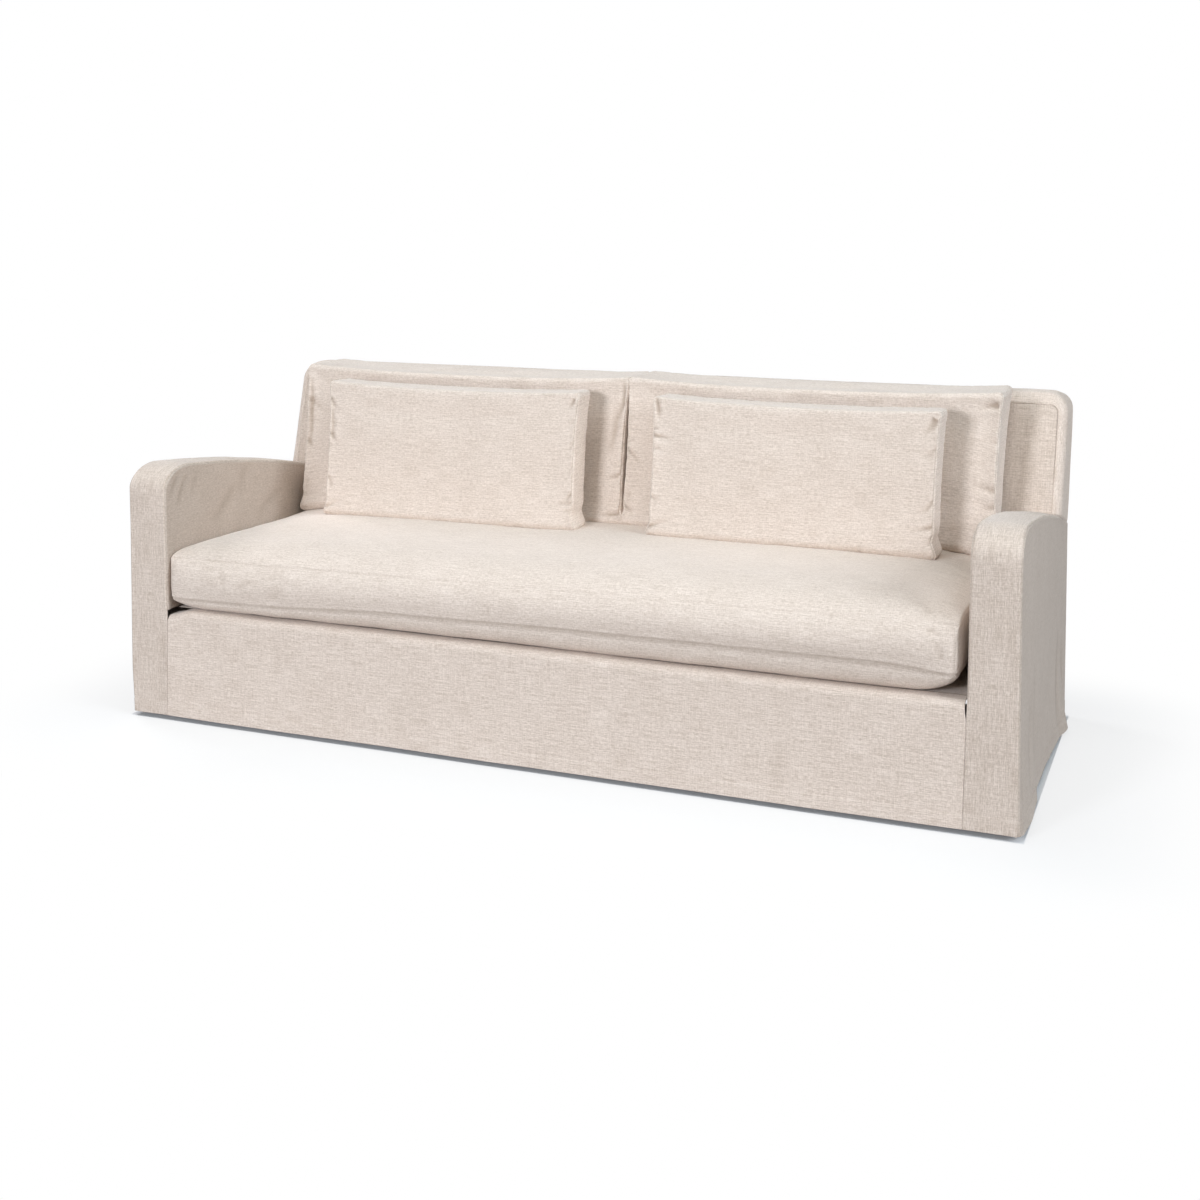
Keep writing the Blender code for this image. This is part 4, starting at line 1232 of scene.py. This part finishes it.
def make_loose(name, row, number, material):
    kind = name.split("_")[0]
    side_shows, foot_shows, top_shows = SEAM_SHOWS[kind]
    tall, depth = row.top - row.foot, (row.depth_low + row.depth_top) / 2
    coarse, step = LOOSE_STEPS[kind]
    axes = [
        crowded(-1.0, 1.0, 2 * LOOSE_FINE / row.width, 2 * coarse / row.width, 1.07),
        crowded(-1.0, 1.0, 2 * LOOSE_FINE / tall, 2 * coarse / tall, 1.07),
        crowded(-1.0, 1.0, 2 * LOOSE_FINE / depth, 2 * 0.0055 / depth),
    ]

    def place(u, v, w):
        return loose_place(name, u, v, w)

    def free(u, v, w):
        """It rests on the seat and leans on what is behind it."""
        return mix(0.1, 1.0, ease((v + 1.0) / 0.2)) * mix(0.2, 1.0, ease((1.0 - w) / 1.2))

    def detail(axis, level, a, b):
        from_end, from_top = a[-1:, :] - a, b[:, -1:] - b
        if axis == 2:
            edge = np.minimum(np.minimum(a, from_end), np.minimum(b, from_top))
            lift = side_shows * seam_line(np.minimum(a, from_end))
            lift = lift + foot_shows * seam_line(b) + top_shows * seam_line(from_top)
            soft = 0.0026 * soft_noise(a, b, 0.13, 200 + number)
            soft = ease(edge / 0.05) * (soft + 0.0009 * soft_noise(a, b, 0.045, 210 + number))
            if level == -1:
                lift = lift + creases(a, b, FACE_CREASES[name])
            for seed, along, inward, length, deep in (
                (1, a, b, row.width, 0.0020), (2, a, from_top, row.width, 0.0012),
                (3, b, a, tall, 0.0022), (4, b, from_end, tall, 0.0022),
            ):
                seed += 300 + 10 * number
                lift = lift + puckers(along, inward, length, seed, 0.028, 0.030, deep)
            return soft, lift
        shows = side_shows if axis == 0 else (foot_shows if level == -1 else top_shows)
        lift = shows * (seam_line(b) + seam_line(from_top))
        middle = ease(np.minimum(b, from_top) / 0.02)
        soft = middle * 0.0014 * soft_noise(a, b, 0.05, 220 + number + axis)
        length = tall if axis == 0 else row.width
        for seed, inward in ((400, b), (440, from_top)):
            seed += 10 * number + axis
            lift = lift + puckers(a, inward, length, seed, 0.035, 0.022, 0.0016)
        return soft, lift

    counts = [int(length / step) for length in (row.width, tall, depth)]
    swell = swelling(place, free, counts, 0.015)
    make_cushion(
        name + "_cover", axes, place, detail, swell, material
    )


# ---------------------------------------------------------------- camera, floor and light
FRAME_PIXELS = 1200
FOCAL_PIXELS = 1645.27
PRINCIPAL_POINT = (549.93, 379.73)  # where the optical axis meets the picture, in pixels
CAMERA_YAW = 0.39942  # in radians
CAMERA_PITCH = 0.10584
CAMERA_PLACE = (1.50733, -3.4308, 1.32446)


def make_camera():
    data = bpy.data.cameras.new("camera")
    data.sensor_width = 36.0
    data.lens = data.sensor_width * FOCAL_PIXELS / FRAME_PIXELS
    data.shift_x = 0.5 - PRINCIPAL_POINT[0] / FRAME_PIXELS
    data.shift_y = PRINCIPAL_POINT[1] / FRAME_PIXELS - 0.5
    camera = place_object("camera", data)
    camera.location = np.array(CAMERA_PLACE) + ORIGIN
    camera.rotation_euler = (pi / 2 - CAMERA_PITCH, 0.0, CAMERA_YAW)
    bpy.context.scene.camera = camera


FOOTPRINT = (1.13, 0.47)  # half of the cover's length and depth on the floor
FLOOR_SHADE = (0.01, 0.50)  # its shadow fades into plain white between these distances
FLOOR_SHARE = 0.70  # how white the shadow already is beside the cover
FLOOR_BOUNCE = 0.4  # light that the white floor throws back


FLOOR_SIZE = 40.0  # half of the floor's width
FLOOR_PAINT = (0.93, 0.93, 0.93, 1.0)


def make_floor():
    """A white floor that takes shadows near the cover and is lost in white farther off."""
    mesh = bpy.data.meshes.new("floor")
    signs = ((-1, -1), (1, -1), (1, 1), (-1, 1))
    corners = [(a * FLOOR_SIZE, b * FLOOR_SIZE, FLOOR_Z) for a, b in signs]
    mesh.from_pydata(corners, [], [(0, 1, 2, 3)])
    paint = bpy.data.materials.new("floor_paint")
    graph = Graph(paint)
    shader = graph.nodes["Principled BSDF"]
    graph.feed(shader, {"Base Color": FLOOR_PAINT, "Roughness": 0.9, "Specular IOR Level": 0.1})

    def vector(operation, *values):
        return graph.add("VectorMath", *values, operation=operation).outputs["Vector"]

    def smooth(*values):
        return graph.level(*values, interpolation_type="SMOOTHERSTEP")

    # The distance outside the cover's footprint.
    here = graph.add("NewGeometry").outputs["Position"]
    place = vector("SUBTRACT", here, (0.0, ORIGIN[1] + FOOTPRINT[1], FLOOR_Z))
    beyond = vector("SUBTRACT", vector("ABSOLUTE", place), (*FOOTPRINT, 0.0))
    beyond = vector("MAXIMUM", beyond, (0.0, 0.0, 0.0))
    outside = graph.add("VectorMath", beyond, operation="LENGTH").outputs["Value"]
    share = smooth(outside, *FLOOR_SHADE, FLOOR_SHARE, 1.0)
    whiteness = graph.math("MULTIPLY", share, smooth(outside, 0.0, 0.002, 0.0, 1.0))
    seen = graph.add("LightPath").outputs["Is Camera Ray"]
    white = graph.add("Emission", inputs={"Strength": smooth(seen, 0.0, 1.0, FLOOR_BOUNCE, 1.0)})
    either = graph.add("MixShader", whiteness, shader.outputs[0], white.outputs[0])
    graph.feed(graph.nodes["Material Output"], {"Surface": either.outputs[0]})
    mesh.materials.append(paint)
    place_object("floor", mesh)


# A soft box: where it stands, its width and height, its power in watts and its colour.
SoftBox = namedtuple("SoftBox", "name place size power colour")
SOFT_BOXES = (
    SoftBox("key", (-1.50, -6.00, 2.00), (1.3, 1.3), 252.0, (0.944, 0.989, 1.067)),
    SoftBox("front_right", (3.64, -4.90, 3.31), (2.4, 2.4), 45.0, (0.97, 1.0, 1.03)),
    SoftBox("right", (6.13, -1.34, 3.31), (3.0, 3.0), 228.0, (0.926, 1.0, 1.075)),
    SoftBox("rear_left", (-4.86, 2.57, 4.85), (2.4, 2.4), 160.0, (1.0, 0.98, 1.02)),
    SoftBox("top", (0.0, -0.2, 4.4), (4.4, 3.4), 92.0, (0.933, 1.026, 1.041)),
)
AIM = (0.0, 0.3, 0.35)
AMBIENT = 0.015


AMBIENT_COLOUR = (1.1, 0.95, 0.94, 1.0)
WHITE = (1.0, 1.0, 1.0, 1.0)


def make_lights():
    aim = np.array(AIM) + ORIGIN
    for row in SOFT_BOXES:
        data = bpy.data.lights.new(row.name, "AREA")
        data.shape = "RECTANGLE"
        data.size, data.size_y = row.size
        data.energy = row.power
        data.color = row.colour
        lamp = place_object(row.name, data)
        lamp.location = np.array(row.place) + ORIGIN
        direction = aim - np.array(lamp.location)
        lamp.rotation_euler = Vector(direction).to_track_quat("-Z", "Y").to_euler()
    world = bpy.data.worlds.new("studio")
    bpy.context.scene.world = world
    graph = Graph(world)
    background = graph.nodes["Background"]
    graph.feed(background, {"Color": AMBIENT_COLOUR, "Strength": AMBIENT})
    # The backdrop itself is plain white, however bright the light that it gives.
    backdrop = graph.add("Background", inputs={"Color": WHITE, "Strength": 1.0})
    seen = graph.add("LightPath").outputs["Is Camera Ray"]
    either = graph.add("MixShader", seen, background.outputs[0], backdrop.outputs[0])
    graph.feed(graph.nodes["World Output"], {"Surface": either.outputs[0]})


# ---------------------------------------------------------------- the whole set
def main():
    make_camera()
    # Painted light and shade: one linen in four copies, each tint brightened or darkened for the
    # light on the panels it dresses. The front panel and the back's band get the lit copy; the arm
    # bands and the inside back a dimmer one; the deck, the inside and outside arms and the outside
    # back the darkest; the cushions' copy is tinted for their light too.
    light = linen("linen_light", (0.83, 0.717, 0.630), slub=1.2, cross=0.7)
    strip = linen("linen_painted_dim", (0.75, 0.645, 0.563), slub=1.1, cross=1.0, seed=2.0)
    shaded = linen("linen_shaded", (0.64, 0.548, 0.475), slub=0.7, cross=0.6, seed=4.0)
    cushion = linen("linen_cushion", (0.82, 0.715, 0.632), slub=1.0, cross=0.4, seed=9.0)
    make_deck(shaded)
    make_front_panel(light)
    for side, end in ((-1, "left"), (1, "right")):
        make_arm_band(side, end, strip)
        make_inside_arm(side, end, shaded)
        make_outside_arm(side, end, shaded)
    make_inside_back(strip)
    make_back_band(light)
    make_outside_back(shaded)
    make_seat(cushion)
    for number, (name, row) in enumerate(LOOSE_CUSHIONS.items()):
        make_loose(name, row, number, cushion)
    make_floor()
    make_lights()
    scene = bpy.context.scene
    scene.view_settings.view_transform = "Standard"


main()
